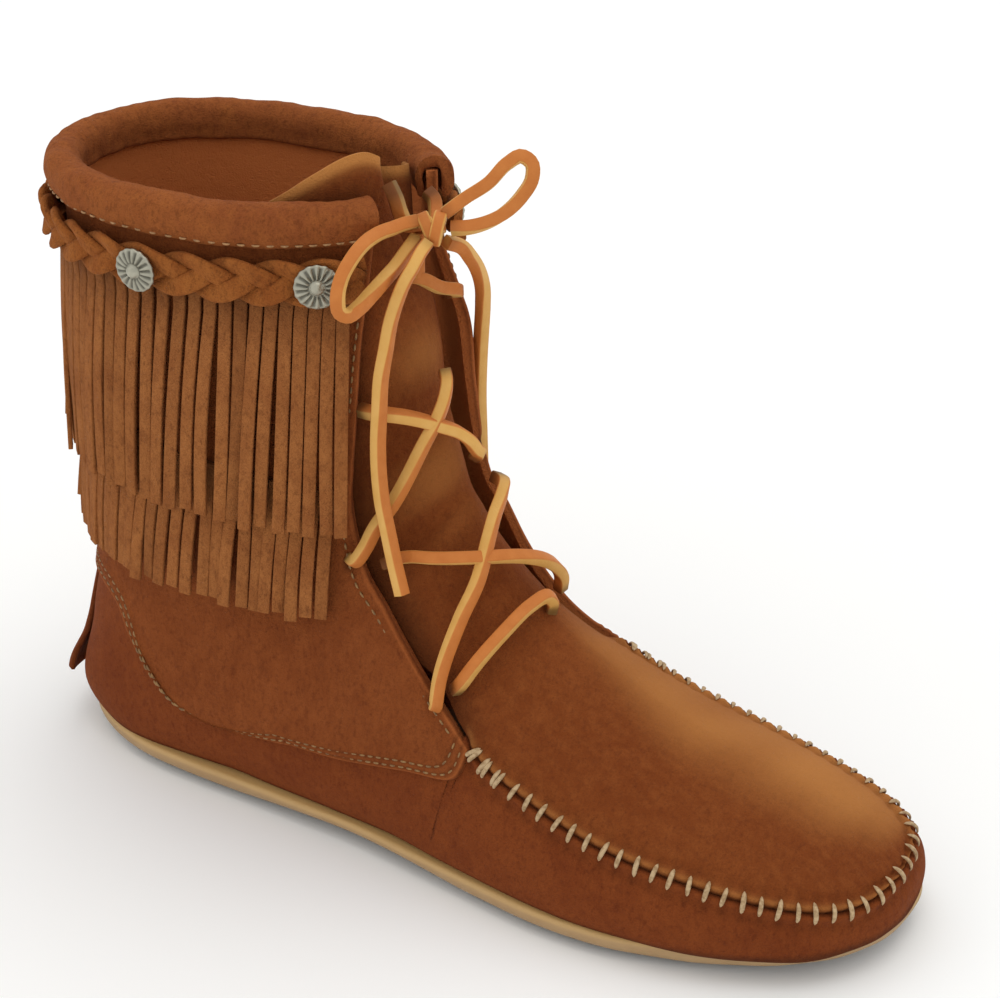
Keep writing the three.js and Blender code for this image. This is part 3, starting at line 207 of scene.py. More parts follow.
def curve_at(rows, share):
    """A smooth curve through rows, at shares of its way."""
    return smooth_rows(rows, np.arange(len(rows)), np.asarray(share) * (len(rows) - 1))


def throat_at(u):
    """Outer and inner v of the throat's edges at the height u."""
    both = smooth_rows(THROAT[:, 1:], THROAT[:, 0], np.asarray(u, float))
    return both[..., 0], both[..., 1]


def level_z(level):
    """Height of a level: 0 the floor, 1 the instep, 2 the collar."""
    level = np.asarray(level)
    return np.where(level <= 1, level * INSTEP_HEIGHT, lerp(INSTEP_HEIGHT, COLLAR_HEIGHT, level - 1))


def make_stations():
    """Sections at real size, with the second one mirrored ahead of the toe tip."""
    s = np.array(SECTIONS)
    real = np.column_stack([
        s[:, 0] * LENGTH - HEEL_SET, level_z(s[:, 1]), s[:, 2] * LENGTH - HEEL_SET, level_z(s[:, 3]),
        s[:, 4] * BALL_WIDTH, s[:, 5] * BALL_WIDTH, s[:, 6], s[:, 7], s[:, 8],
    ])
    ahead = real[1].copy()
    ahead[:4] = real[1][[2, 3, 0, 1]]
    ahead[4:6] = 2 * real[0][4:6] - real[1][4:6]
    move = np.diff(real, axis=0)
    run = (
        0.5 * np.hypot(move[:, 0], move[:, 1])
        + 0.5 * np.hypot(move[:, 2], move[:, 3])
        + 0.25 * np.abs(move[:, 4] + move[:, 5])
    )
    knots = np.concatenate([[-run[0]], [0], np.cumsum(run)])
    return np.vstack([ahead, real]), knots, knots[COLLAR_SECTION + 1]


STATIONS, KNOTS, COLLAR_KNOT = make_stations()


def last(u, v):
    """Points of the last's surface."""
    u, v = np.broadcast_arrays(np.asarray(u, float), np.asarray(v, float))
    s = smooth_rows(STATIONS, KNOTS, u * COLLAR_KNOT)
    rise, turn = -np.cos(TURN * v), np.sin(TURN * v)
    power = 2 / np.where(rise < 0, s[..., 8], s[..., 7])
    climb = np.abs(rise) ** power
    belly = s[..., 6]
    share = np.where(rise < 0, belly * (1 - climb), belly + (1 - belly) * climb)
    middle, half = (s[..., 4] - s[..., 5]) / 2, (s[..., 4] + s[..., 5]) / 2
    return np.stack([
        lerp(s[..., 2], s[..., 0], share),
        middle - half * np.sign(turn) * np.abs(turn) ** power,
        lerp(s[..., 3], s[..., 1], share),
    ], axis=-1)


def unit(vectors):
    """The vectors at length 1."""
    size = np.linalg.norm(vectors, axis=-1, keepdims=True)
    return vectors / np.maximum(size, 1e-9)


def last_normal(u, v, probe=0.003):
    """Outward directions of the last's surface."""
    u = np.maximum(u, 2 * probe)
    along = last(u + probe, v) - last(u - probe, v)
    around = last(u, v + probe) - last(u, v - probe)
    return unit(np.cross(around, along))


def flap_lift(u, v):
    """How far the flaps beside the throat stand off the last."""
    turn = v - np.floor(v)
    height = step(u, 0.4, 0.56) * (1 - step(u, 0.8, 0.96))
    inner = INNER_FLAP_LIFT * (1 - step(np.abs(turn - 0.54), 0.02, 0.17))
    outer = OUTER_FLAP_LIFT * (1 - step(np.abs(turn - 0.4), 0.02, 0.1))
    return height * np.maximum(inner, outer)


def on_last(u, v, offset=0.0):
    """Points off the last's surface."""
    return last(u, v) + last_normal(u, v) * np.asarray(offset)[..., None]


def on_upper(u, v, offset=0.0):
    """Points off the upper, whose flaps stand up."""
    u, v = np.broadcast_arrays(np.asarray(u, float), np.asarray(v, float))
    return on_last(u, v, offset + flap_lift(u, v))


def find(value_at, target, low, high, steps=30):
    """Where value_at, which grows from low to high, reaches the target."""
    low, high = np.broadcast_arrays(np.asarray(low, float), np.asarray(high, float))
    low, high = np.array(low), np.array(high)
    for _ in range(steps):
        middle = (low + high) / 2
        below = value_at(middle) < target
        low, high = np.where(below, middle, low), np.where(below, high, middle)
    return high


def below_collar(drop, v):
    """The u at which the surface lies a drop below the collar."""
    v = np.asarray(v, float)
    target = last(1.0, v)[..., 2] - drop
    return find(lambda u: last(u, v)[..., 2], target, 0.5 + 0 * target, 1.1 + 0 * target)


# How far what goes round the shaft stays back from the flaps
FLAP_MARGIN = 0.006


def shaft_place(share, drop, margin=FLAP_MARGIN):
    """Round the shaft, share 0 at the outer flap, 0.5 at the back, 1 at the inner flap."""
    share, drop = np.broadcast_arrays(np.asarray(share, float), np.asarray(drop, float))

    def place(edges):
        outer, inner = edges
        return np.where(
            share < 0.5,
            lerp(outer - margin, 0, 2 * share),
            lerp(0, inner - 1 + margin, 2 * share - 1),
        )

    u = below_collar(drop, place(throat_at(np.ones_like(share))))
    return u, place(throat_at(u))


def on_shaft(share, drop, offset=0.0, margin=FLAP_MARGIN):
    """Points round the shaft at a drop below the collar."""
    u, v = shaft_place(share, drop, margin)
    return on_upper(u, v, offset)


# Camera, at the photo's angle
AZIMUTH, ELEVATION, ROLL = math.radians(27.2), math.radians(28.6), math.radians(1.5)
DISTANCE, TARGET = 620, Vector((101.2, 0, 103.2))
LENS, SENSOR = 82.8, 36


def add_camera():
    """The camera that sees the boot as the photograph does."""
    back = Vector((
        math.sin(AZIMUTH) * math.cos(ELEVATION),
        -math.cos(AZIMUTH) * math.cos(ELEVATION),
        math.sin(ELEVATION),
    ))
    right = Vector((math.cos(AZIMUTH), math.sin(AZIMUTH), 0))
    up = back.cross(right)
    across = right * math.cos(ROLL) + up * math.sin(ROLL)
    upwards = up * math.cos(ROLL) - right * math.sin(ROLL)
    data = bpy.data.cameras.new("camera")
    data.lens, data.sensor_width = LENS, SENSOR
    camera = bpy.data.objects.new("camera", data)
    bpy.context.scene.collection.objects.link(camera)
    facing = Matrix((across, upwards, back)).transposed().to_4x4()
    camera.matrix_world = Matrix.Translation((TARGET + back * DISTANCE) * MM) @ facing
    bpy.context.scene.camera = camera


add_camera()


def colour(code):
    """Linear colour of an sRGB hex code."""
    parts = [int(code[i : i + 2], 16) / 255 for i in (1, 3, 5)]
    return [p / 12.92 if p <= 0.04045 else ((p + 0.055) / 1.055) ** 2.4 for p in parts] + [1]


def node(tree, kind, inputs=None, **settings):
    """Adds a node with its settings, and sets or links its inputs."""
    made = tree.nodes.new(kind)
    for key, value in settings.items():
        setattr(made, key, value)
    for key, value in (inputs or {}).items():
        if isinstance(value, bpy.types.NodeSocket):
            tree.links.new(value, made.inputs[key])
        else:
            made.inputs[key].default_value = value
    return made


def new_material(name):
    """A material with one shader: the material, its tree and the shader."""
    material = bpy.data.materials.new(name)
    material.use_nodes = True
    tree = material.node_tree
    tree.nodes.clear()
    shader = node(tree, "ShaderNodeBsdfPrincipled")
    node(tree, "ShaderNodeOutputMaterial", {"Surface": shader.outputs[0]})
    return material, tree, shader


def noise(tree, size, detail=3.0, stretch=None, rough=0.5):
    """Noise from 0 to 1 with marks of about size millimetres, in object coordinates."""
    where = node(tree, "ShaderNodeTexCoord").outputs["Object"]
    if stretch:
        where = node(tree, "ShaderNodeMapping", {"Vector": where, "Scale": stretch}).outputs[0]
    return node(
        tree,
        "ShaderNodeTexNoise",
        {"Vector": where, "Scale": 1 / (size * MM), "Detail": detail, "Roughness": rough},
    ).outputs["Fac"]


def spread(tree, value, low, high, start=0.0, end=1.0):
    """Stretches a value's range from low..high to start..end, clamped."""
    return node(
        tree,
        "ShaderNodeMapRange",
        {"Value": value, "From Min": low, "From Max": high, "To Min": start, "To Max": end},
    ).outputs[0]


def blend(tree, amount, a, b):
    """Mixes two colours by an amount."""
    made = node(tree, "ShaderNodeMix", data_type="RGBA")
    for socket, value in ((made.inputs[0], amount), (made.inputs[6], a), (made.inputs[7], b)):
        if isinstance(value, bpy.types.NodeSocket):
            tree.links.new(value, socket)
        else:
            socket.default_value = value
    return made.outputs[2]


def attribute(tree, name):
    """A number kept on the mesh points."""
    return node(tree, "ShaderNodeAttribute", attribute_name=name).outputs["Fac"]


def bump(tree, height, depth, before=None):
    """Relief of a depth in millimetres, over another one where given."""
    inputs = {"Height": height, "Distance": depth * MM}
    if before:
        inputs["Normal"] = before
    return node(tree, "ShaderNodeBump", inputs).outputs[0]


def suede(name, base, light, dark, mottle=26.0, worn=None):
    """Brushed suede: a soft nap, with painted shade in creases, seams and folds, and lighter where it is
    rubbed and where highlights are painted.
    """
    material, tree, shader = new_material(name)
    cloudy = spread(tree, noise(tree, mottle, 3), 0.32, 0.68, 0.1, 0.55)
    tone = blend(tree, cloudy, colour(base), colour(light))
    strokes = spread(tree, noise(tree, 4.5, 5, (1, 1.7, 0.6), 0.68), 0.42, 0.68, 0, 0.65)
    tone = blend(tree, strokes, tone, colour(light))
    shadows = spread(tree, noise(tree, 1.8, 5, (1.4, 1, 0.8), 0.7), 0.5, 0.7, 0, 0.55)
    tone = blend(tree, shadows, tone, colour(dark))
    fibre = noise(tree, 0.45, 3)
    tone = blend(tree, spread(tree, fibre, 0.48, 0.75, 0, 0.4), tone, colour(dark))
    # Rubbed edges are lighter, and so are painted highlights and painted light, in the worn tone or else the
    # light one
    tone = blend(tree, attribute(tree, "wear_and_highlight"), tone, colour(worn or light))
    # Painted shade in creases, seams, folds, holes and hollows
    tone = blend(tree, attribute(tree, "shade"), tone, colour("#2a1409"))
    tree.links.new(tone, shader.inputs["Base Color"])
    shader.inputs["Roughness"].default_value = 0.95
    shader.inputs["Specular IOR Level"].default_value = 0.12
    shader.inputs["Sheen Weight"].default_value = 0.12
    shader.inputs["Sheen Roughness"].default_value = 0.5
    shader.inputs["Sheen Tint"].default_value = colour(light)
    coarse = bump(tree, noise(tree, 1.8, 4, None, 0.6), 0.36)
    tree.links.new(bump(tree, fibre, 0.3, coarse), shader.inputs["Normal"])
    return material


# Brown suede: tanned tone, nap tone, shadow in the nap; the nap tone, or the worn one, also colours rubbed
# edges and painted highlights
VAMP_SUEDE = suede("vamp_suede", "#6f3315", "#84431d", "#52200c")
PLUG_SUEDE = suede("plug_suede", "#733715", "#8a4b22", "#5f2c13", mottle=40.0, worn="#b87a40")
SHAFT_SUEDE = suede("shaft_suede", "#763a18", "#8d4c24", "#56250f", worn="#bd6d3a")
CUFF_SUEDE = suede("cuff_suede", "#824423", "#9c5a2b", "#57290f")
FRINGE_SUEDE = suede("fringe_suede", "#895029", "#a86b3a", "#5f3217", mottle=12.0)
BRAID_SUEDE = suede("braid_suede", "#87491f", "#a4642f", "#532a11", mottle=9.0)


def rawhide():
    """Square-cut rawhide lace: orange faces and pale yellow cut sides."""
    material, tree, shader = new_material("rawhide_lace")
    grain = blend(tree, noise(tree, 5, 3), colour("#cf9848"), colour("#dfb066"))
    flesh = blend(tree, noise(tree, 3, 4), colour("#b7682c"), colour("#ca7d3c"))
    tone = blend(tree, attribute(tree, "grain"), flesh, grain)
    # Painted shade at the laces' ends and between the knot's turns
    tone = blend(tree, attribute(tree, "shade"), tone, colour("#3a1d0d"))
    tree.links.new(tone, shader.inputs["Base Color"])
    shader.inputs["Roughness"].default_value = 0.6
    shader.inputs["Specular IOR Level"].default_value = 0.22
    tree.links.new(bump(tree, noise(tree, 0.7, 3), 0.12), shader.inputs["Normal"])
    return material


def rubber():
    """Caramel crepe rubber of the sole, with painted shade towards the ground."""
    material, tree, shader = new_material("sole_rubber")
    side = blend(tree, noise(tree, 9, 4), colour("#9c7b52"), colour("#b08f64"))
    tone = blend(tree, attribute(tree, "rim"), side, colour("#c39d63"))
    tone = blend(tree, attribute(tree, "shade"), tone, colour("#3b2c1a"))
    tree.links.new(tone, shader.inputs["Base Color"])
    shader.inputs["Roughness"].default_value = 0.55
    tree.links.new(bump(tree, noise(tree, 0.9, 4), 0.12), shader.inputs["Normal"])
    return material


def thread(name, base, dark):
    """Waxed thread, twisted and a little dirty."""
    material, tree, shader = new_material(name)
    tone = blend(tree, spread(tree, noise(tree, 1.1, 3), 0.4, 0.65), colour(base), colour(dark))
    tree.links.new(tone, shader.inputs["Base Color"])
    shader.inputs["Roughness"].default_value = 0.6
    tree.links.new(bump(tree, noise(tree, 0.35, 2), 0.1), shader.inputs["Normal"])
    return material


def silver():
    """Antique silver of the buttons, darkened in its flutes."""
    material, tree, shader = new_material("antique_silver")
    tone = blend(tree, noise(tree, 2.2, 4), colour("#8f8c7d"), colour("#b9b5a4"))
    tone = blend(tree, attribute(tree, "shade"), tone, colour("#2b2822"))
    tree.links.new(tone, shader.inputs["Base Color"])
    shader.inputs["Metallic"].default_value = 0.9
    worn = spread(tree, noise(tree, 1.3, 3), 0.3, 0.7, 0.28, 0.5)
    tree.links.new(worn, shader.inputs["Roughness"])
    tree.links.new(bump(tree, noise(tree, 0.8, 3), 0.05), shader.inputs["Normal"])
    return material


def lining():
    """Smooth brown leather of the footbed and of the upper's inside."""
    material, tree, shader = new_material("lining_leather")
    tone = blend(tree, noise(tree, 8, 4), colour("#4f2d18"), colour("#6b4226"))
    tree.links.new(tone, shader.inputs["Base Color"])
    shader.inputs["Roughness"].default_value = 0.8
    tree.links.new(bump(tree, noise(tree, 0.6, 3), 0.1), shader.inputs["Normal"])
    return material


RAWHIDE, RUBBER, SILVER, LINING = rawhide(), rubber(), silver(), lining()
SEAM_THREAD = thread("seam_thread", "#bb9f78", "#957650")
FINE_THREAD = thread("fine_thread", "#96703f", "#6e4e2a")
PALE_THREAD = thread("pale_thread", "#b08355", "#8a6239")


def new_mesh(name, points, faces, values=None, vectors=None, edges=()):
    """A mesh from points in millimetres, with numbers and directions kept on its points."""
    mesh = bpy.data.meshes.new(name)
    mesh.from_pydata((np.asarray(points).reshape(-1, 3) * MM).tolist(), edges, faces)
    for kind, field, layers in (("FLOAT_VECTOR", "vector", vectors), ("FLOAT", "value", values)):
        for key, numbers in (layers or {}).items():
            layer = mesh.attributes.new(key, kind, "POINT")
            layer.data.foreach_set(field, np.asarray(numbers, np.float32).ravel())
    return mesh


def new_object(name, mesh, material=None):
    """Puts a mesh in the scene at the origin, smooth where it has a material."""
    made = bpy.data.objects.new(name, mesh)
    bpy.context.scene.collection.objects.link(made)
    if material:
        mesh.materials.append(material)
        mesh.shade_smooth()
    return made


def ride(piece, slot, *nodes):
    """Puts a piece on the boot and hides the solids it stands for; its slot is not used."""
    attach(piece, "root")
    if nodes:
        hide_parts(*nodes)
    return piece


def grid_faces(rows, columns, closed=False, start=0):
    """Quads of a grid of points, closed round its columns or open."""
    last_column = columns if closed else columns - 1
    i, j = np.meshgrid(np.arange(rows - 1), np.arange(last_column), indexing="ij")
    k = (j + 1) % columns
    quads = np.stack([i * columns + j, i * columns + k, (i + 1) * columns + k, (i + 1) * columns + j], -1)
    return quads.reshape(-1, 4) + start


def capped_faces(rings, around):
    """Faces of a stack of rings of points, with a cap at both ends."""
    first, final = list(range(around)), list(range((rings - 1) * around, rings * around))
    return grid_faces(rings, around, True).tolist() + [first[::-1], final]


def facing_out(points, faces, centre=0.0):
    """The faces, all turned over if they look towards the centre."""
    a, b, c = (points[[face[k] for face in faces]] - centre for k in range(3))
    inward = np.einsum("ij,ij->i", a, np.cross(b, c)).sum() < 0
    return [face[::-1] for face in faces] if inward else faces


def rim_faces(near, far):
    """Quads between two lines of point numbers."""
    return np.stack([near[:-1], near[1:], far[1:], far[:-1]], -1)


def shell(name, outer, inner, material, values, closed=False, inside=None):
    """A closed shell between two grids of points, facing outwards."""
    rows, columns = outer.shape[:2]
    size = rows * columns
    number = np.arange(size).reshape(rows, columns)
    parts = [grid_faces(rows, columns, closed), grid_faces(rows, columns, closed, size)[:, ::-1]]
    for line, back in ((number[0], True), (number[-1], False)):
        line = np.append(line, line[0]) if closed else line
        rim = rim_faces(line, line + size)
        parts.append(rim[:, ::-1] if back else rim)
    if not closed:
        parts.append(rim_faces(number[:, 0], number[:, 0] + size))
        parts.append(rim_faces(number[:, -1], number[:, -1] + size)[:, ::-1])
    quads = np.vstack(parts)
    points = np.concatenate([outer.reshape(-1, 3), inner.reshape(-1, 3)])
    a, b, c, d = (points[quads[:, k]] for k in range(4))
    if np.einsum("ij,ij->i", a, np.cross(b, c) + np.cross(c, d)).sum() < 0:
        quads = quads[:, ::-1]
    sides = (values, {**values, **(inside or {})})
    both = {
        key: np.concatenate([np.broadcast_to(side[key], outer.shape[:2]).ravel() for side in sides])
        for key in values
    }
    return new_object(name, new_mesh(name, points, quads.tolist(), both), material)


def grid_normals(points, closed=False, like=None):
    """Normals of a grid of points, turned to agree with the directions given."""
    if closed:
        along = np.roll(points, -1, 1) - np.roll(points, 1, 1)
    else:
        along = np.gradient(points, axis=1)
    across = np.gradient(points, axis=0)
    normals = unit(np.cross(along, across))
    if like is not None:
        agree = np.sign(np.einsum("ijk,ijk->ij", normals, like))
        normals = normals * np.where(agree == 0, 1, agree)[..., None]
    return normals


def run_of(points, axis=0):
    """Distance run along an axis of a grid of points."""
    move = np.linalg.norm(np.diff(points, axis=axis), axis=-1)
    start = np.zeros_like(np.take(move, [0], axis=axis))
    return np.concatenate([start, np.cumsum(move, axis=axis)], axis=axis)


def fixed_then_even(total, fixed, count, both=False):
    """Distances that start with fixed ones (and end so, for both) and are even between."""
    fixed = np.asarray(fixed, float)
    scale = min(1.0, total / (4 * fixed[-1]) if both else total / (2 * fixed[-1]))
    head = fixed * scale
    if both:
        middle = np.linspace(head[-1], total - head[-1], count)[1:-1]
        return np.concatenate([head, middle, (total - head)[::-1]])
    return np.concatenate([head, np.linspace(head[-1], total, count)[1:]])


# Depths of the close rows beside a sewn edge
EDGE_ROWS = [0, 0.3, 0.7, 1.2, 1.8, 2.5, 3.3, 4.2, 5.2, 6.3, 7.5, 8.8]
# The reach in u over which the toe tip closes, and the points that give its middle
CAP, CAP_POINTS = 0.014, 48
# From stitch to stitch along the seam
STITCH_PITCH = 4.8
# How deep the wrap's lower edge dips into the sole
SOLE_DIP = 1.2


def on_disc(disc):
    """Points of the last where u is the radius and v the angle, with the toe tip closed."""
    radius = np.hypot(disc[..., 0], disc[..., 1])
    v = np.arctan2(disc[..., 0], -disc[..., 1]) / TURN
    ring = last(np.maximum(radius - CAP, 0), v)
    tip = last(0.0, np.arange(CAP_POINTS) / CAP_POINTS).mean(axis=0)
    share = np.minimum(radius / CAP, 1)[..., None]
    return lerp(tip, ring, share)


def disc_of(u, v):
    """The flat place of a point of the last, seen from the toe tip."""
    return np.stack([(u + CAP) * np.sin(TURN * v), -(u + CAP) * np.cos(TURN * v)], -1)


def sole_z(x):
    """Height of the sole's top, which rises to the toe."""
    share = (x + HEEL_SET) / LENGTH
    return SOLE_TOP + TOE_SPRING * np.clip((share - SPRING_START) / (1 - SPRING_START), 0, 1.1) ** 2


def contour(side, count=300):
    """The line where the last meets the sole, toe to heel, as u and v on one side."""

    def above(u, v):
        point = last(u, side * v)
        return point[..., 2] - sole_z(point[..., 0]) + SOLE_DIP

    first = float(find(lambda u: -above(u, 0.0), 0.0, 0.0, 0.05))
    final = float(find(lambda u: above(u, 0.0), 0.0, 0.6, 0.7))
    share = (1 - np.cos(np.linspace(0, math.pi, count))) / 2
    u = lerp(first, final, share)
    v = find(lambda x: above(u, x), 0.0, 0 * u, 0 * u + 0.24)
    v[[0, -1]] = 0
    return u, v


# The wrap's grid, and the line inside the foot that it faces away from
WRAP_ROWS, WRAP_COLUMNS = 44, 400
WRAP_SPINE, WRAP_SPINE_HEIGHT = (0, 190), 30
# Points along each stretch of the wrap's top edge, and its tuck under the quarter
EDGE_POINTS, TUCK = 400, 0.012
# Places in u where the wrap's columns are held: beside the toe, seam's end and waist
TOE_MARK, SEAM_MARK, WAIST_MARK = 0.111, 0.4, 0.5


def wrap_half(side, columns):
    """One half of the wrap, toe to heel, as grids: points, run, depth and share of seam."""
    end = 0 if side > 0 else 1
    seam = curve_at(SEAM, np.linspace(SEAM_TOE_SHARE, end, EDGE_POINTS))
    edge = curve_at(QUARTER_EDGE, np.linspace(end, 0.5, EDGE_POINTS))
    seam_v, edge_v = (seam[:, 1], edge[:, 1]) if side > 0 else (1 - seam[:, 1], -edge[:, 1])
    tuck = TUCK * step(np.linspace(0, 1, EDGE_POINTS), 0.0, 0.08)
    top_u = np.concatenate([seam[:, 0], edge[:, 0] + tuck])
    top_v = np.concatenate([seam_v, edge_v + tuck * step(edge_v, 0.0, 0.05)])
    top_run = run_of(last(top_u, side * top_v))
    low_u, low_v = contour(side)
    low_run = run_of(last(low_u, side * low_v))
    seam_run = top_run[EDGE_POINTS - 1]
    beside_toe = np.argmin(np.abs(seam[:, 0] - TOE_MARK))
    at_waist = EDGE_POINTS + np.argmin(np.abs(edge[: EDGE_POINTS // 2, 0] - WAIST_MARK))
    marks_top = [0, top_run[beside_toe], seam_run, top_run[at_waist], top_run[-1]]
    marks_low = [0, *np.interp([TOE_MARK, SEAM_MARK, WAIST_MARK], low_u, low_run), low_run[-1]]
    at = np.linspace(0, top_run[-1], columns)
    low_at = np.interp(at, marks_top, marks_low)
    u0, v0 = np.interp(at, top_run, top_u), np.interp(at, top_run, top_v)
    u1, v1 = np.interp(low_at, low_run, low_u), np.interp(low_at, low_run, low_v)
    straight = (1 - step(at, 12, 70))[None, :, None]
    dense = np.linspace(0, 1, 160)[:, None]

    def path(r):
        arc = disc_of(lerp(u0, u1, r), lerp(v0, v1, r))
        chord = lerp(disc_of(u0, v0), disc_of(u1, v1), r[..., None])
        disc = lerp(arc, chord, straight)
        disc[..., 0] *= side
        return on_disc(disc)

    lengths = run_of(path(dense))
    shares = np.empty((WRAP_ROWS, columns))
    depth = np.empty_like(shares)
    for k in range(columns):
        depth[:, k] = fixed_then_even(lengths[-1, k], EDGE_ROWS, WRAP_ROWS - len(EDGE_ROWS) + 1)
        shares[:, k] = np.interp(depth[:, k], lengths[:, k], dense[:, 0])
    on_seam = 1 - step(at, seam_run - 1, seam_run + 3)
    return path(shares), np.broadcast_to(at, depth.shape), depth, np.broadcast_to(on_seam, depth.shape)


def pucker(run, depth, reach):
    """Height of the sewn edge: a roll pinched at each stitch, and folds running from it."""
    phase = run / STITCH_PITCH
    between = 0.5 - 0.5 * np.cos(TURN * phase)
    roll = bell(depth, 1.3, 1.15) * lerp(0.75, 1.55, between)
    ditch = -0.5 * bell(depth, 0, 0.7) - 0.35 * bell(depth, 4.2, 1.3)
    jitter = 0.5 * np.sin(1.7 * phase) + 0.5 * np.sin(0.61 * phase + 2)
    folds = 0.32 * (between - 0.5) * bell(depth, 4.5, reach) * (1 + 0.5 * jitter)
    return roll + ditch + folds


def soft_waves(points, size, seed):
    """A smooth field of about -1 to 1 with waves of a size in millimetres."""
    draw = np.random.default_rng(seed)
    total = np.zeros(points.shape[:-1])
    for _ in range(7):
        direction = unit(draw.normal(size=3))
        scale = draw.uniform(0.7, 1.5) * TURN / size
        total += np.sin(points @ direction * scale + draw.uniform(0, TURN))
    return total / 4


def add_wrap():
    """The lower upper, one piece of suede round the foot, sewn to the plug."""
    halves = [wrap_half(side, WRAP_COLUMNS // 2 + 1) for side in (1, -1)]
    points, run, depth, on_seam = (np.concatenate([a, b[:, -2:0:-1]], axis=1) for a, b in zip(*halves))
    middle = points * [1, 0, 0]
    middle[..., 0] = np.clip(middle[..., 0], *WRAP_SPINE)
    middle[..., 2] = WRAP_SPINE_HEIGHT
    normals = grid_normals(points, True, points - middle + [0, 0, 1e-3])
    waves = 0.45 * soft_waves(points, 60, 3) + 0.22 * soft_waves(points, 23, 4)
    lift = on_seam * pucker(run, depth, 5.5) + waves * (step(depth, 0, 10) * 0.9)
    lift = lift - (1 - on_seam) * 0.5 * (1 - step(depth, 0, 2.2))
    outer = points + normals * lift[..., None]
    inner = points - normals * (UPPER_WALL - 0.1)
    between = 0.5 + 0.5 * np.cos(TURN * run / STITCH_PITCH)
    # Painted shade in the seam's groove, between its folds and where the wrap meets the sole; lighter along
    # the roll beside the seam
    shade = on_seam * (0.4 * bell(depth, 0, 0.55) + 0.28 * between * bell(depth, 3.8, 1.6))
    under = np.clip(1 - (points[..., 2] - sole_z(points[..., 0])) / 2.2, 0, 1)
    values = {"shade": np.maximum(shade, 0.55 * under), "wear_and_highlight": on_seam * 0.3 * bell(depth, 1.3, 0.8)}
    return shell("vamp_wrap", outer, inner, VAMP_SUEDE, values, closed=True)


# The tongue above the plug, by height: u, outer v, inner v
TONGUE_SIDES = np.array([
    (0.38, 0.352, 0.594), (0.43, 0.36, 0.598), (0.5, 0.354, 0.6), (0.6, 0.35, 0.6),
    (0.8, 0.34, 0.61), (1.1, 0.33, 0.6),
])
# The tongue's top edge as v and its rise above the collar, and the fold beside it
TONGUE_TOP = np.array([(0.33, 1), (0.38, 8), (0.44, 13), (0.5, 6), (0.6, 0)])
FOLD_DEPTH, FOLD_CREST, FOLD_WIDTH, FOLD_FAR = 9, 0.46, 0.05, 0.53
# How much deeper the tongue lies near the collar
COLLAR_SINK = 3.2
# Surfaces that face the key light this way get a painted highlight
HIGHLIGHT_FACING = (0.1, 0.22, 0.92)
PLUG_ROWS, TONGUE_ROWS, PLUG_COLUMNS = 150, 120, 84
# Soft bulges and dips of the plug and tongue: u, v, reach in u, reach in v, height
BULGES = [
    (0.3, 0.47, 0.12, 0.1, 1.0), (0.372, 0.385, 0.035, 0.03, -1.5), (0.35, 0.56, 0.05, 0.04, -0.8),
    (0.47, 0.455, 0.03, 0.05, 2.2), (0.56, 0.47, 0.035, 0.05, 2.6), (0.645, 0.46, 0.03, 0.05, 2.4),
    (0.79, 0.48, 0.04, 0.05, 1.8), (0.52, 0.43, 0.02, 0.05, -1.0), (0.6, 0.43, 0.02, 0.06, -1.2),
    (0.71, 0.45, 0.025, 0.07, -1.2),
]


def plug_table():
    """Rows up the plug and tongue: u, v and seam run at both edges, and the tongue's shares."""
    halves = []
    for end in (0, 1):
        seam = curve_at(SEAM, np.linspace(SEAM_TOE_SHARE, end, 500))
        halves.append((run_of(last(seam[:, 0], seam[:, 1])), seam))
    plug = []
    for share in np.linspace(0, 1, PLUG_ROWS):
        row = []
        for run, seam in halves:
            at = share * run[-1]
            row += [np.interp(at, run, seam[:, 0]), np.interp(at, run, seam[:, 1]), at]
        plug.append(row)
    climb = np.linspace(0, 1, TONGUE_ROWS + 1)[1:]
    tongue = []
    for start, column, run in ((SEAM[0], 1, plug[-1][2]), (SEAM[-1], 2, plug[-1][5])):
        u = lerp(start[0], 1.0, climb)
        v = np.interp(u, TONGUE_SIDES[:, 0], TONGUE_SIDES[:, column])
        tongue += [u, lerp(start[1], v, step(climb, 0, 0.1)), run + climb * 100]
    return np.vstack([plug, np.column_stack(tongue)]), climb


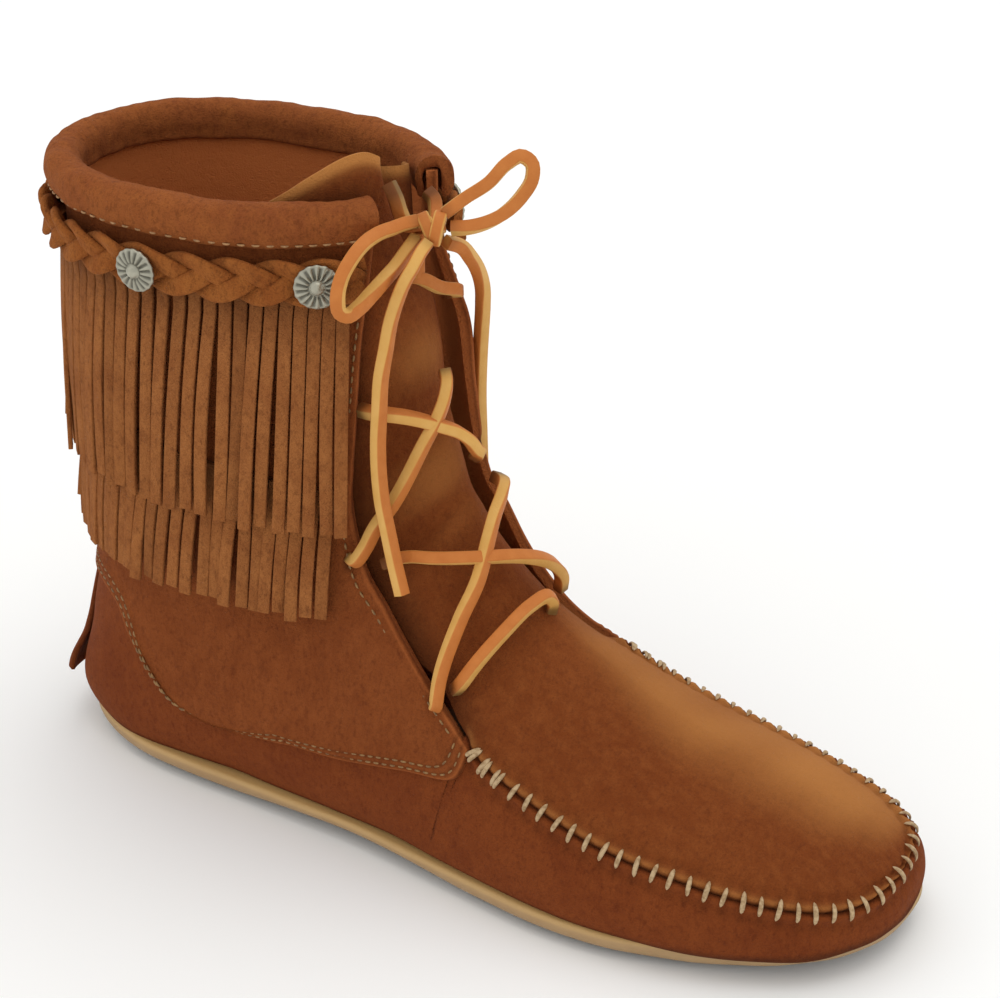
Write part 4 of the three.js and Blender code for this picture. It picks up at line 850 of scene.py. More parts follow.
def add_plug():
    """The plug over the toes and the tongue that grows from it."""
    table, climb = plug_table()
    dense = np.linspace(0, 1, 200)[None, :]

    def place(share):
        return lerp(table[:, :1], table[:, 3:4], share), lerp(table[:, 1:2], table[:, 4:5], share)

    across = run_of(last(*place(dense)), axis=1)
    shares = np.empty((len(table), PLUG_COLUMNS))
    left = np.empty_like(shares)
    head = EDGE_ROWS[:9]
    for k, run in enumerate(across):
        left[k] = fixed_then_even(max(run[-1], 1e-4), head, PLUG_COLUMNS - 2 * len(head) + 2, both=True)
        shares[k] = np.interp(left[k], run, dense[0])
    u, v = place(shares)
    part = np.concatenate([np.zeros(PLUG_ROWS), climb])[:, None] * np.ones_like(u)
    rise = smooth_rows(TONGUE_TOP[:, 1:], TONGUE_TOP[:, 0], np.clip(v, *TONGUE_TOP[[0, -1], 0]))[..., 0]
    u = u + (below_collar(-rise, v) - 1.0) * step(part, 0.7, 1)
    points, normals = last(u, v), last_normal(u, v)
    right = across[:, -1:] - left
    depth = np.minimum(left, right)
    run = np.where(left < right, table[:, 2:3], table[:, 5:6])
    row = np.arange(len(table))[:, None]
    on_seam = (1 - step(row, PLUG_ROWS - 3, PLUG_ROWS + 1)) * np.ones_like(u)
    # the tongue lies under the flaps, and deeper near the collar
    sunk = step(row, PLUG_ROWS - 10, PLUG_ROWS + 14) * np.ones_like(u)
    sunk = np.where(row < PLUG_ROWS, sunk * step(depth, 2, 9), sunk)
    lay = -sunk * (UPPER_WALL + 2 * SEAT_GAP) - step(u, 0.84, 0.93) * COLLAR_SINK * sunk
    swell = mounds(u, v, BULGES)
    lift = on_seam * pucker(run, depth, 2.5) * np.clip(across[:, -1:] / 12, 0, 1)
    lift += 0.35 * soft_waves(points, 55, 11) * step(depth, 0, 12)
    lift += swell
    lift += step(u, 0.97, 1.04) * (0.9 * np.sin(28 * (v - 0.42)) + 0.5 * np.sin(61 * v))
    crest = FOLD_CREST + 0.5 * np.maximum(1.02 - u, 0)
    fold = step(v, crest, crest + FOLD_WIDTH) * (1 - step(v, FOLD_FAR, FOLD_FAR + FOLD_WIDTH))
    fold = fold * step(u, 0.86, 0.96)
    outer = points + normals * (lay + lift - FOLD_DEPTH * fold)[..., None]
    thin = TONGUE_WALL * np.ones_like(u)
    thin[-1] *= 0.6
    inner = outer - normals * thin[..., None]
    flaps = throat_at(np.clip(u, THROAT_START, 1.1))
    hidden = 1 - step(np.minimum(v - flaps[0], flaps[1] - v), -0.012, 0.02)
    hidden = hidden * step(row, PLUG_ROWS - 14, PLUG_ROWS + 6) * (1 - step(u, 0.99, 1.03))
    between = 0.5 + 0.5 * np.cos(TURN * run / STITCH_PITCH)
    # Painted shade in the seam's groove and between its folds, on the tongue under the flaps and in its fold
    shade = on_seam * (0.6 * bell(depth, 0, 0.55) + 0.2 * between * bell(depth, 3.2, 1.2))
    shade = np.maximum(np.maximum(shade, 0.5 * hidden), 0.45 * fold)
    wear_and_highlight = on_seam * 0.4 * bell(depth, 1.4, 0.9) + step(part, 0.98, 0.992)
    # Painted highlight where the plug faces the key light
    painted_highlight = step(normals @ unit(np.array(HIGHLIGHT_FACING)), 0.76, 1.02)
    streaky = 0.8 + 0.2 * soft_waves(points, 26, 12)
    on_tongue = step(u, 0.5, 0.7)
    wear_and_highlight += 0.95 * streaky * painted_highlight * (1 - 0.2 * on_tongue) * (1 - step(u, 0.93, 1))
    # Painted highlights on the tongue's bulges
    wear_and_highlight += 0.4 * np.clip(swell / 2, 0, 1) * on_tongue
    return shell("plug_and_tongue", outer, inner, PLUG_SUEDE, {"shade": shade, "wear_and_highlight": wear_and_highlight})


# Points along the seam when it's measured
SEAM_POINTS = 1500


def seam_path():
    """The seam as points, directions across it towards the wrap, normals and signed runs."""
    share = np.linspace(0, 1, SEAM_POINTS)
    u, v = curve_at(SEAM, share).T
    points, normals = last(u, v), last_normal(u, v)
    run = run_of(points)
    toe = run[np.argmin(np.abs(share - SEAM_TOE_SHARE))]
    along = unit(np.gradient(points, axis=0))
    across = unit(np.cross(along, normals))
    return run - toe, points, across, normals


# The quarter: columns round the shaft, rows from the lower edge to the collar, and the
# close columns beside its flaps with the width that they are shares of
QUARTER_COLUMNS, QUARTER_ROWS = 300, 96
FLAP_COLUMNS, QUARTER_SPAN = [0, 0.35, 0.8, 1.4, 2.2, 3.1, 4.2, 5.4, 6.8], 290
# Depths of the two stitched rows along its lower edge
STITCH_ROWS = (2.3, 5.2)


def quarter_uv(i, j):
    """Places of the quarter: i round it from flap to flap, j from its edge to the collar."""
    side = i < 0.5
    towards = np.abs(2 * i - 1)
    edge = curve_at(QUARTER_EDGE, i)
    u = lerp(edge[..., 0], 1.0, j)
    top_outer, top_inner = throat_at(1.0)
    foot_outer, foot_inner = throat_at(QUARTER_EDGE[0, 0])
    collar_v = towards * np.where(side, top_outer, top_inner - 1)
    now_outer, now_inner = throat_at(np.maximum(u, THROAT_START))
    flap = np.where(side, now_outer, now_inner)
    straight = np.where(side, lerp(foot_outer, top_outer, j), lerp(foot_inner, top_inner, j))
    return u, lerp(edge[..., 1], collar_v, j) + (flap - straight) * towards**3


# Soft creases of the shaft and heel: u, v, reach in u, reach in v, height
CREASES = [
    (0.64, 0.2, 0.03, 0.1, -0.9), (0.7, 0.05, 0.02, 0.1, -0.6), (0.56, 0.31, 0.025, 0.03, -0.8),
    (0.6, 0.27, 0.03, 0.05, 0.9), (0.5, 0.31, 0.04, 0.03, 0.6), (0.63, -0.2, 0.03, 0.1, -0.8),
    (0.58, -0.28, 0.03, 0.05, 0.8), (0.7, 0.3, 0.05, 0.03, 0.7),
]
# Punched eyelets, on the outer flap and on the far one, drawn as dimples darkened with painted shade
EYELETS = [(0.451, 0.347), (0.629, 0.372), (0.765, 0.4), (0.882, 0.424)]
FAR_EYELETS = [(0.416, 0.583), (0.649, 0.566), (0.842, 0.576)]


def edge_shares(count, fixed, reach):
    """Shares from 0 to 1 with fixed distances at both ends of a width."""
    head = np.array(fixed) / reach
    return np.concatenate([head, np.linspace(head[-1], 1 - head[-1], count)[1:-1], (1 - head)[::-1]])


def add_quarter():
    """The shaft's one piece of suede, lapped over the wrap and open at the throat."""
    i = edge_shares(QUARTER_COLUMNS, FLAP_COLUMNS, QUARTER_SPAN)[None, :]
    dense = np.linspace(0, 1, 240)[:, None]
    runs = run_of(on_upper(*quarter_uv(i + 0 * dense, dense + 0 * i)))
    columns = i.shape[1]
    j = np.empty((QUARTER_ROWS, columns))
    depth = np.empty_like(j)
    for k in range(columns):
        depth[:, k] = fixed_then_even(runs[-1, k], EDGE_ROWS, QUARTER_ROWS - len(EDGE_ROWS) + 1)
        j[:, k] = np.interp(depth[:, k], runs[:, k], dense[:, 0])
    u, v = quarter_uv(i + 0 * j, j)
    points = on_upper(u, v)
    normals = grid_normals(points, False, last_normal(u, v))
    width = run_of(points, axis=1)
    flap = np.minimum(width, width[:, -1:] - width)
    band = sum(bell(depth, row, 0.5) for row in STITCH_ROWS)
    lift = QUARTER_STEP + 0.35 * (1 - step(depth, 6, 8)) - 0.3 * band
    lift += 0.5 * soft_waves(points, 48, 21) * step(depth, 3, 14) + 0.2 * soft_waves(points, 17, 22)
    lift += mounds(u, v, CREASES)
    rounding = np.minimum(depth, flap)
    lift -= 1.1 * (1 - np.clip(rounding / 1.1, 0, 1)) ** 2.2
    # Painted shade in the stitch rows' grooves, in the eyelets and along the rolled edges
    shade = 0.35 * band
    for eyelet in (*EYELETS, *FAR_EYELETS):
        away = np.linalg.norm(points - on_upper(*eyelet), axis=-1)
        lift -= bell(away, 0, 2)
        shade = np.maximum(shade, 0.85 * np.exp(-((away / 1.9) ** 3)))
    outer = points + normals * lift[..., None]
    inner = points - normals * UPPER_WALL
    shade = np.maximum(shade, 0.25 * (1 - step(rounding, 0, 0.5)))
    wear_and_highlight = 0.45 * (1 - step(rounding, 0.4, 1.6)) * step(rounding, 0.2, 0.5)
    # The inside has no painted shade and is painted lighter all over: painted light where it lies in shade
    return shell(
        "quarter", outer, inner, SHAFT_SUEDE, {"shade": shade, "wear_and_highlight": wear_and_highlight}, inside={"shade": 0.0, "wear_and_highlight": 1.0}
    )


# Node trees for what repeats or follows a path
def new_tree(name, sockets):
    """A tree with named inputs, and its input node."""
    tree = bpy.data.node_groups.new(name, "GeometryNodeTree")
    tree.interface.new_socket("Geometry", in_out="INPUT", socket_type="NodeSocketGeometry")
    for label, kind in sockets:
        tree.interface.new_socket(label, in_out="INPUT", socket_type=kind)
    tree.interface.new_socket("Geometry", in_out="OUTPUT", socket_type="NodeSocketGeometry")
    return tree, node(tree, "NodeGroupInput")


def end_tree(tree, geometry, material):
    """Makes the copies real and gives them their material."""
    real = node(tree, "GeometryNodeRealizeInstances", {"Geometry": geometry}).outputs[0]
    painted = node(tree, "GeometryNodeSetMaterial", {"Geometry": real, "Material": material}).outputs[0]
    node(tree, "NodeGroupOutput", {"Geometry": painted})


def named(tree, name, kind="FLOAT"):
    """A value kept on the points."""
    made = node(tree, "GeometryNodeInputNamedAttribute", data_type=kind)
    made.inputs["Name"].default_value = name
    return made.outputs["Attribute"]


def strap_tree():
    """Sweeps a rounded rectangle along lines whose points hold facing, size and tone."""
    tree, given = new_tree("strap", [
        ("Width", "NodeSocketFloat"), ("Thickness", "NodeSocketFloat"),
        ("Roundness", "NodeSocketFloat"), ("Material", "NodeSocketMaterial"),
    ])
    line = node(tree, "GeometryNodeMeshToCurve", {"Mesh": given.outputs["Geometry"]}).outputs[0]
    line = node(
        tree, "GeometryNodeSetCurveNormal",
        {"Curve": line, "Normal": named(tree, "facing", "FLOAT_VECTOR")}, mode="FREE",
    ).outputs[0]
    line = node(tree, "GeometryNodeSetCurveRadius", {"Curve": line, "Radius": named(tree, "size")}).outputs[0]
    shape = node(
        tree, "GeometryNodeCurvePrimitiveQuadrilateral",
        {"Width": given.outputs["Thickness"], "Height": given.outputs["Width"]},
    ).outputs[0]
    shape = node(
        tree, "GeometryNodeFilletCurve",
        {"Curve": shape, "Radius": given.outputs["Roundness"], "Limit Radius": True, "Count": 2}, mode="POLY",
    ).outputs[0]
    place = node(tree, "GeometryNodeInputPosition").outputs[0]
    corner = node(tree, "ShaderNodeSeparateXYZ", {"Vector": place})
    level, upright = (
        node(tree, "ShaderNodeMath", {0: corner.outputs[k]}, operation="ABSOLUTE").outputs[0] for k in (0, 1)
    )
    grain = node(tree, "ShaderNodeMath", {0: upright, 1: level}, operation="GREATER_THAN")
    shape = node(
        tree, "GeometryNodeStoreNamedAttribute",
        {"Geometry": shape, "Name": "grain", "Value": grain.outputs[0]}, data_type="FLOAT", domain="POINT",
    ).outputs[0]
    swept = node(
        tree, "GeometryNodeCurveToMesh", {"Curve": line, "Profile Curve": shape, "Fill Caps": True}
    ).outputs[0]
    end_tree(tree, swept, given.outputs["Material"])
    return tree


def scatter_tree():
    """Puts a piece on points whose attributes say which way its length and its back go."""
    tree, given = new_tree("scatter", [("Piece", "NodeSocketObject"), ("Material", "NodeSocketMaterial")])
    points = node(tree, "GeometryNodeMeshToPoints", {"Mesh": given.outputs["Geometry"]}).outputs[0]
    rotation = node(
        tree, "FunctionNodeAxesToRotation",
        {0: named(tree, "out", "FLOAT_VECTOR"), 1: named(tree, "along", "FLOAT_VECTOR")},
        primary_axis="Z", secondary_axis="X",
    ).outputs[0]
    piece = node(tree, "GeometryNodeObjectInfo", {"Object": given.outputs["Piece"]}).outputs["Geometry"]
    placed = node(
        tree, "GeometryNodeInstanceOnPoints",
        {"Points": points, "Instance": piece, "Rotation": rotation, "Scale": named(tree, "size")},
    ).outputs[0]
    end_tree(tree, placed, given.outputs["Material"])
    return tree


STRAP, SCATTER = strap_tree(), scatter_tree()


def apply_nodes(tree, name, points, edges, vectors, values, inputs):
    """Runs a tree on points in millimetres and returns the piece that comes out."""
    source = new_object(name, new_mesh(name, points, [], values, vectors, np.asarray(edges).tolist()))
    modifier = source.modifiers.new("nodes", "NODES")
    modifier.node_group = tree
    for item in tree.interface.items_tree:
        if item.in_out == "INPUT" and item.name in inputs:
            modifier[item.identifier] = inputs[item.name]
    source.update_tag()
    bpy.context.view_layer.update()
    shape = source.evaluated_get(bpy.context.evaluated_depsgraph_get())
    made = bpy.data.meshes.new_from_object(shape)
    source.modifiers.clear()
    source.data = made
    made.shade_smooth()
    return source


def straps(name, lines, facings, width, thickness, roundness, material, sizes=None, shades=None):
    """Sweeps straps along several lines of points at once."""
    counts = [len(line) for line in lines]
    starts = np.cumsum([0, *counts[:-1]])
    edges = np.concatenate([
        np.column_stack([np.arange(n - 1), np.arange(1, n)]) + start for n, start in zip(counts, starts)
    ])
    points = np.concatenate(lines)
    values = {
        "size": np.concatenate(sizes) if sizes is not None else np.ones(len(points)),
        "shade": np.concatenate(shades) if shades is not None else np.zeros(len(points)),
    }
    inputs = {
        "Width": width * MM, "Thickness": thickness * MM, "Roundness": roundness * MM, "Material": material,
    }
    return apply_nodes(STRAP, name, points, edges, {"facing": np.concatenate(facings)}, values, inputs)


def columns_at(at, run, rows):
    """Rows of a table at places along its run."""
    return np.column_stack([np.interp(at, run, column) for column in rows.T])


def smooth_line(points, spacing):
    """A smooth line through points, at an even spacing."""
    points = np.asarray(points, float)
    knots = run_of(points)
    dense = smooth_rows(points, knots, np.linspace(0, knots[-1], 40 * len(points)))
    run = run_of(dense)
    at = np.linspace(0, run[-1], max(2, round(run[-1] / spacing) + 1))
    return columns_at(at, run, dense)


def arch(name, length, width, rise, bend, segments=12, sides=8):
    """A short arched stitch along X, thicker in its middle, with its ends bent down."""
    t = np.linspace(-1, 1, segments + 1)[:, None]
    a = np.linspace(0, TURN, sides, endpoint=False)[None, :]
    girth = np.sqrt(np.clip(1 - np.abs(t) ** 3.2, 0.02, 1)) * np.ones_like(a)
    x = t * length / 2 + 0 * a
    y = np.cos(a) * girth * width / 2
    z = np.sin(a) * girth * rise / 2 - bend * np.abs(t) ** 2.4 + bend * 0.25
    mesh = new_mesh(name, np.stack([x, y, z], -1), capped_faces(segments + 1, sides))
    return bpy.data.objects.new(name, mesh)


def scatter(name, piece, points, out, along, material, sizes=None):
    """Puts copies of a piece on points and drops the piece itself."""
    values = {"size": np.ones(len(points)) if sizes is None else sizes}
    inputs = {"Piece": piece, "Material": material}
    made = apply_nodes(SCATTER, name, points, [], {"out": out, "along": along}, values, inputs)
    bpy.data.objects.remove(piece)
    return made


# The seam's stitches start this far from its ends, with close tacks there
SEAM_END, TACKS = 3, 3


def add_seam_stitches():
    """Thick whipped stitches over the seam, a little uneven."""
    run, points, across, normals = seam_path()
    first, final = run[0] + SEAM_END, run[-1] - SEAM_END
    even = np.arange(math.ceil(first / STITCH_PITCH), math.floor(final / STITCH_PITCH) + 1) * STITCH_PITCH
    tacks = (np.arange(TACKS) + 0.5) * STITCH_PITCH
    at = np.concatenate([even, first + tacks, final - tacks])
    count = np.arange(len(at))
    at = at + 0.15 * np.sin(count * 2.3)
    place = columns_at(at, run, points)
    out, cross = unit(columns_at(at, run, normals)), unit(columns_at(at, run, across))
    lean = unit(np.cross(out, cross)) * (0.1 * np.sin(count * 1.9))[:, None]
    piece = arch("seam_stitch", 5.6, 1.35, 0.9, 1.4)
    size = 1 + 0.07 * np.sin(count * 3.1)
    return scatter("seam_stitches", piece, place + out * 1.35, out, unit(cross + lean), SEAM_THREAD, size)


def add_quarter_stitches():
    """Two rows along the quarter's lower edge, and a row along each flap."""
    places, outs, alongs = [], [], []

    def row(u, v, spacing, lift):
        line = on_upper(u, v)
        run = run_of(line)
        at = np.arange(spacing, run[-1] - spacing / 2, spacing)
        normals = last_normal(np.interp(at, run, u), np.interp(at, run, v))
        here = columns_at(at, run, line)
        places.append(here + normals * lift)
        outs.append(normals)
        alongs.append(unit(columns_at(at + 0.5, run, line) - here))

    i = np.linspace(0.004, 0.996, 900)
    dense = np.linspace(0, 0.4, 120)[:, None]
    runs = run_of(on_upper(*quarter_uv(i[None, :] + 0 * dense, dense + 0 * i[None, :])))
    for depth in STITCH_ROWS:
        j = np.array([np.interp(depth, runs[:, k], dense[:, 0]) for k in range(len(i))])
        row(*quarter_uv(i, j), 2.7, QUARTER_STEP + 0.12)
    j = np.linspace(0.03, 0.9, 400)
    for share in (0.011, 0.989):
        row(*quarter_uv(np.full_like(j, share), j), 2.9, QUARTER_STEP + 0.05)
    piece = arch("fine_stitch", 2.0, 0.62, 0.5, 0.22, 6, 6)
    return scatter("panel_stitches", piece, *map(np.concatenate, (places, outs, alongs)), FINE_THREAD)


# The fringe's two tiers: drop of their top below the collar, length of the strips
LOWER_TOP, LOWER_LENGTH = 66, 45.5
UPPER_TOP, UPPER_LENGTH = 20, 65
# Where the tiers start and end round the shaft
FRINGE_START, FRINGE_END = 0.02, 0.948
# The strips: room to swing, sway aside, uneven ends and lean to the back
STRIP_SWING, STRIP_SWAY, STRIP_UNEVEN, STRIP_LEAN = 1.2, 0.7, 2.2, 0.07
STRIP_COUNT, STRIP_WIDTH = 62, 3.45
# The share of the shaft either side of the heel where the strips hang loose
LOOSE_SHARE = 0.07
# Shares of a strip's length at which it has to clear the upper, and how far inside the
# upper the clearance is measured from
HANG_CHECKS = (0.2, 0.35, 0.55, 0.75, 1)
REACH_INSIDE = 40


def part_hash(n):
    """An uneven number from 0 to 1, always the same for the number given."""
    value = math.sin(n * 127.1 + 3.7) * 43758.5453
    return value - math.floor(value)


def slice_at(z, offset):
    """A level cut through the upper's outside, from flap to flap round the back."""
    v = 0.45 * (np.arange(61) / 30 - 1)
    u = find(lambda x: on_upper(x, v, offset + 0 * v)[..., 2], z, 0.301 + 0 * v, 1.1 + 0 * v, 20)
    return on_upper(u, v, offset + 0 * v)


def reach_along(slice_points, start, away):
    """How far out the upper reaches along a level direction from a point inside it."""
    side = (slice_points[:, 0] - start[0]) * away[1] - (slice_points[:, 1] - start[1]) * away[0]
    a, b = side[:-1], side[1:]
    cut = (a * b <= 0) & (a != b)
    share = a[cut] / (a[cut] - b[cut])
    point = lerp(slice_points[:-1][cut], slice_points[1:][cut], share[:, None])
    return max([0, *((point - start) @ away)])


def add_fringe(name, top, length, lay, clearance, flare, seed, back_flare):
    """A tier of fringe: cut strips that hang clear of the upper, each a little its own way."""
    half = STRIP_WIDTH / 2
    head_z = on_shaft(0.5, top)[2]
    slices = [slice_at(head_z - part * length, clearance(head_z - part * length)) for part in HANG_CHECKS]
    draw = np.random.default_rng(seed)
    lines, facings, sizes, shades = [], [], [], []
    for k in range(STRIP_COUNT):
        middle = lerp(FRINGE_START, FRINGE_END, (k + 0.5) / STRIP_COUNT)
        head = on_shaft(middle, top, lay)
        away = head - on_shaft(middle, top)
        away[2] = 0
        away = unit(away)
        aside = np.array([away[1], -away[0], 0])
        lean = np.array([-STRIP_LEAN * length * abs(away[1]), 0, 0])
        inside = head - away * REACH_INSIDE
        swings = [
            (reach_along(slices[i], inside + aside * side * half + lean * part, away) - REACH_INSIDE) / part
            for i, part in enumerate(HANG_CHECKS) for side in (-1, 1)
        ]
        sway = STRIP_SWAY * (2 * part_hash(k + top) - 1)
        loose = back_flare * math.exp(-(((middle - 0.5) / LOOSE_SHARE) ** 2))
        out = max(swings) + flare * part_hash(k + 57 + top) + loose * (0.3 + 0.7 * part_hash(k + 3 + top))
        foot = head + away * out + aside * sway + lean
        foot[2] = head_z - length + STRIP_UNEVEN * part_hash(k + 11 + top)
        band = on_shaft(middle, top + FRINGE_BAND, lay)
        t = np.linspace(0, 1, 14)[:, None]
        curl, drift, spin = draw.normal(0, 0.55), draw.normal(0, 0.5), draw.normal(0, 0.14)
        hang = lerp(band, foot, t) + away * (0.9 * np.sin(math.pi * t) + np.maximum(curl, -0.3) * t**2)
        hang = hang + aside * drift * np.sin(math.pi * t * 0.8)
        line = np.vstack([head, hang]) + away * STRIP_WALL / 2
        turn = np.linspace(0, spin, len(line))[:, None]
        lines.append(line)
        facings.append(away * np.cos(turn) + aside * np.sin(turn))
        # strips join at the band, where they're widest, and get painted shade there
        narrow = np.full(len(line), 0.97 + draw.normal(0, 0.03))
        narrow[:5] = (1.085, 1.085, 1.08, 1.05, 1.01)
        sizes.append(narrow)
        # Each strip a little darker at random, plus painted shade at its top
        deep = np.full(len(line), max(0.0, draw.normal(0.02, 0.07)))
        deep[:4] += (0.4, 0.25, 0.12, 0.03)
        shades.append(deep)
    return straps(name, lines, facings, STRIP_WIDTH, STRIP_WALL, 0.3, FRINGE_SUEDE, sizes, shades)


def lower_clearance(_):
    """The lower tier hangs close on the upper."""
    return SHORT_LAY + 2 * SAG


def upper_clearance(z):
    """The upper tier hangs over the lower one, below its top."""
    over_lower = z < on_shaft(0.5, LOWER_TOP)[2] + 2
    return SHORT_LAY + STRIP_WALL + SEAT_GAP + SAG + STRIP_SWING if over_lower else SHORT_LAY


# The cuff's section: drop below the collar and lay over the last, round the fold, its
# points and its columns round the shaft
CUFF_POINTS, CUFF_COLUMNS, CUFF_RIPPLE = 64, 330, 0.32
CUFF_FOLD = [
    (7.4, 2.4), (7.2, 3.7), (5.6, 4.8), (3.4, 5.4), (1.2, 5.4), (-1.2, 4.6), (-2.8, 2.8),
    (-3.3, 0.4), (-2.8, -2.2), (-1, -4.1), (1.6, -4.8), (4.6, -4.5), (7, -4), (7.2, -2.9),
    (4.5, -2.7), (1.5, -2.7), (-0.1, -2), (-0.6, 0), (-0.2, 1.6), (1.6, 2.1), (4, 2.1), (6.2, 2.1),
]


def closed_curve(rows, count):
    """A smooth closed curve through rows."""
    rows = np.asarray(rows, float)
    padded = np.vstack([rows[-3:], rows, rows[:3]])
    knots = run_of(padded)
    at = np.linspace(knots[3], knots[3 + len(rows)], count, endpoint=False)
    return smooth_rows(padded, knots, at)


def add_cuff():
    """The rolled collar: a folded section carried round the shaft, a little uneven."""
    fold = closed_curve(CUFF_FOLD, CUFF_POINTS)
    share = np.linspace(0, 1, CUFF_COLUMNS)
    rings = np.stack([
        on_shaft(share, np.full_like(share, drop), np.full_like(share, lay)) for drop, lay in fold
    ])
    uneven = CUFF_RIPPLE * soft_waves(rings, 16, 5) + CUFF_RIPPLE * soft_waves(rings, 6, 6) * 0.5
    rings = rings + unit(rings - rings.mean(axis=0, keepdims=True)) * uneven[..., None]
    points = np.transpose(rings, (1, 0, 2)).reshape(-1, 3)
    faces = facing_out(points, capped_faces(CUFF_COLUMNS, CUFF_POINTS))
    # Painted shade on the roll's inner side
    shade = np.tile(0.1 * step(-fold[:, 1], 0.5, 3.5), CUFF_COLUMNS)
    mesh = new_mesh("cuff_roll", points, faces, {"shade": shade, "wear_and_highlight": 0 * shade})
    return new_object("cuff_roll", mesh, CUFF_SUEDE)


# The cuff's stitches: spacing, drop and lay, and the drop on the last that they face from
CUFF_STITCH_PITCH, CUFF_STITCH_DROP, CUFF_STITCH_LAY, CUFF_STITCH_HEART = 3.1, 6.1, 4.75, 4.5


def add_cuff_stitches():
    """One row of pale stitches under the cuff's roll."""
    share = np.arange(0.012, 0.988, CUFF_STITCH_PITCH / SHAFT_ROUND)
    line = on_shaft(share, CUFF_STITCH_DROP, np.full_like(share, CUFF_STITCH_LAY))
    out = unit(line - on_shaft(share, CUFF_STITCH_HEART, np.zeros_like(share)))
    piece = arch("cuff_stitch", 2.2, 0.7, 0.6, 0.25, 6, 6)
    return scatter("cuff_stitches", piece, line, out, unit(np.gradient(line, axis=0)), PALE_THREAD)


# The braid: its straps, their repeats round the shaft, how far they swing up and down
# and how far they weave in and out, and the lay of its middle
BRAID_STRAPS, BRAID_REPEATS, BRAID_REACH, BRAID_WEAVE = 3, 8, 3.6, 1.1
BRAID_STRAP_WIDTH, BRAID_STRAP_WALL, BRAID_STRAP_ROUND = 5.4, 2.3, 1.1
BRAID_MIDDLE_DROP, BRAID_MIDDLE_LAY = BRAID_DROP + BRAID_WIDTH / 2, BRAID_LAY + 1.2


def add_braid():
    """Three straps plaited flat round the shaft."""
    share = np.linspace(0.012, 0.988, 420)
    lines, facings, shades = [], [], []
    for k in range(BRAID_STRAPS):
        phase = TURN * (share * BRAID_REPEATS + k / BRAID_STRAPS)
        drop = BRAID_MIDDLE_DROP + BRAID_REACH * np.sin(phase)
        lay = BRAID_MIDDLE_LAY + BRAID_WEAVE * np.sin(2 * phase)
        line = on_shaft(share, drop, lay)
        out = unit(line - on_shaft(share, drop, lay - 4))
        up = unit(on_shaft(share, drop - 1, lay) - line)
        tilt = 0.55 * np.cos(phase) * np.cos(2 * phase)
        lines.append(line)
        facings.append(unit(out + 0.45 * up * np.sin(phase)[:, None] + 0.1 * up * tilt[:, None]))
        # Painted shade where a strap dips under the others
        shades.append(0.3 * step(-np.sin(2 * phase), 0.1, 1))
    return straps(
        "braid_plait", lines, facings, BRAID_STRAP_WIDTH, BRAID_STRAP_WALL, BRAID_STRAP_ROUND, BRAID_SUEDE,
        None, shades,
    )


# Buttons on the braid, by their share round the shaft
CONCHOS = (("outer_front", 0.06), ("outer_back", 0.22), ("inner_back", 0.78), ("inner_front", 0.94))
# A button's profile at 6.5 radius, from its middle out: the boss, the dished rim with its
# flutes, and the edge round to the back as radius and height
BOSS_RADIUS, BOSS_HEIGHT, BOSS_LOW, BOSS_RINGS = 2.1, 3, 1.5, 8
DISH_INNER, DISH_OUTER, DISH_RINGS = 2.3, 6.1, 9
CONCHO_EDGE = [(6.35, 0.95), (6.5, 0.7), (6.5, 0.35), (6.35, 0.05), (5.6, 0.0)]
CONCHO_SIDES, FLUTES, FLUTE_DEPTH, CONCHO_SCALE = 96, 16, 0.34, 5.9 / 6.5


def add_concho(name, share):
    """A domed button with radial flutes round a smooth boss."""
    edge = np.array(CONCHO_EDGE)
    boss, dish = np.linspace(0, 1, BOSS_RINGS), np.linspace(0, 1, DISH_RINGS)
    radius = np.concatenate([
        np.linspace(0.02, BOSS_RADIUS, BOSS_RINGS),
        np.linspace(DISH_INNER, DISH_OUTER, DISH_RINGS),
        edge[:, 0],
    ])
    profile = np.concatenate([
        BOSS_LOW + (BOSS_HEIGHT - BOSS_LOW) * np.sqrt(np.clip(1 - boss**2, 0, 1)),
        1.55 + 0.25 * np.sin(math.pi * dish) - 0.5 * dish,
        edge[:, 1],
    ])
    rings = len(radius)
    a = np.linspace(0, TURN, CONCHO_SIDES, endpoint=False)[None, :]
    radius = radius[:, None] * np.ones_like(a)
    front = (np.arange(rings) < BOSS_RINGS + DISH_RINGS)[:, None]
    dished = step(radius, 2.2, 2.8) * (1 - step(radius, 5.8, 6.3)) * front
    flutes = np.cos(FLUTES * a)
    height = (profile[:, None] + FLUTE_DEPTH * flutes * dished) * CONCHO_SCALE
    scallop = 1 + 0.018 * flutes * step(radius, 5, 6.4)
    radius = radius * CONCHO_SCALE
    place = on_shaft(share, BRAID_MIDDLE_DROP, BRAID_MIDDLE_LAY + 2.4 + 2 * SEAT_GAP)
    out = unit(place - on_shaft(share, BRAID_MIDDLE_DROP))
    side = unit(np.cross([0, 0, 1.0], out))
    up = np.cross(out, side)
    points = (
        place
        + (radius * scallop * np.cos(a))[..., None] * side
        + (radius * scallop * np.sin(a))[..., None] * up
        + height[..., None] * out
    ).reshape(-1, 3)
    shade = 0.75 * dished * step(-flutes, -0.2, 0.9) + 0.6 * bell(radius, 2.2, 0.25)
    faces = facing_out(points, capped_faces(rings, CONCHO_SIDES), place)
    return new_object(name, new_mesh(name, points, faces, {"shade": shade}), SILVER)


# Heel tab, foot and top: height above the floor, half width; how far the foot stands
# off; its thickness and about its width
TAB_FOOT, TAB_TOP, TAB_FOOT_HALF, TAB_TOP_HALF, TAB_STAND = 14, 50, 10, 4.5, 2.4
TAB_WALL, TAB_WIDTH = 1.9, 16


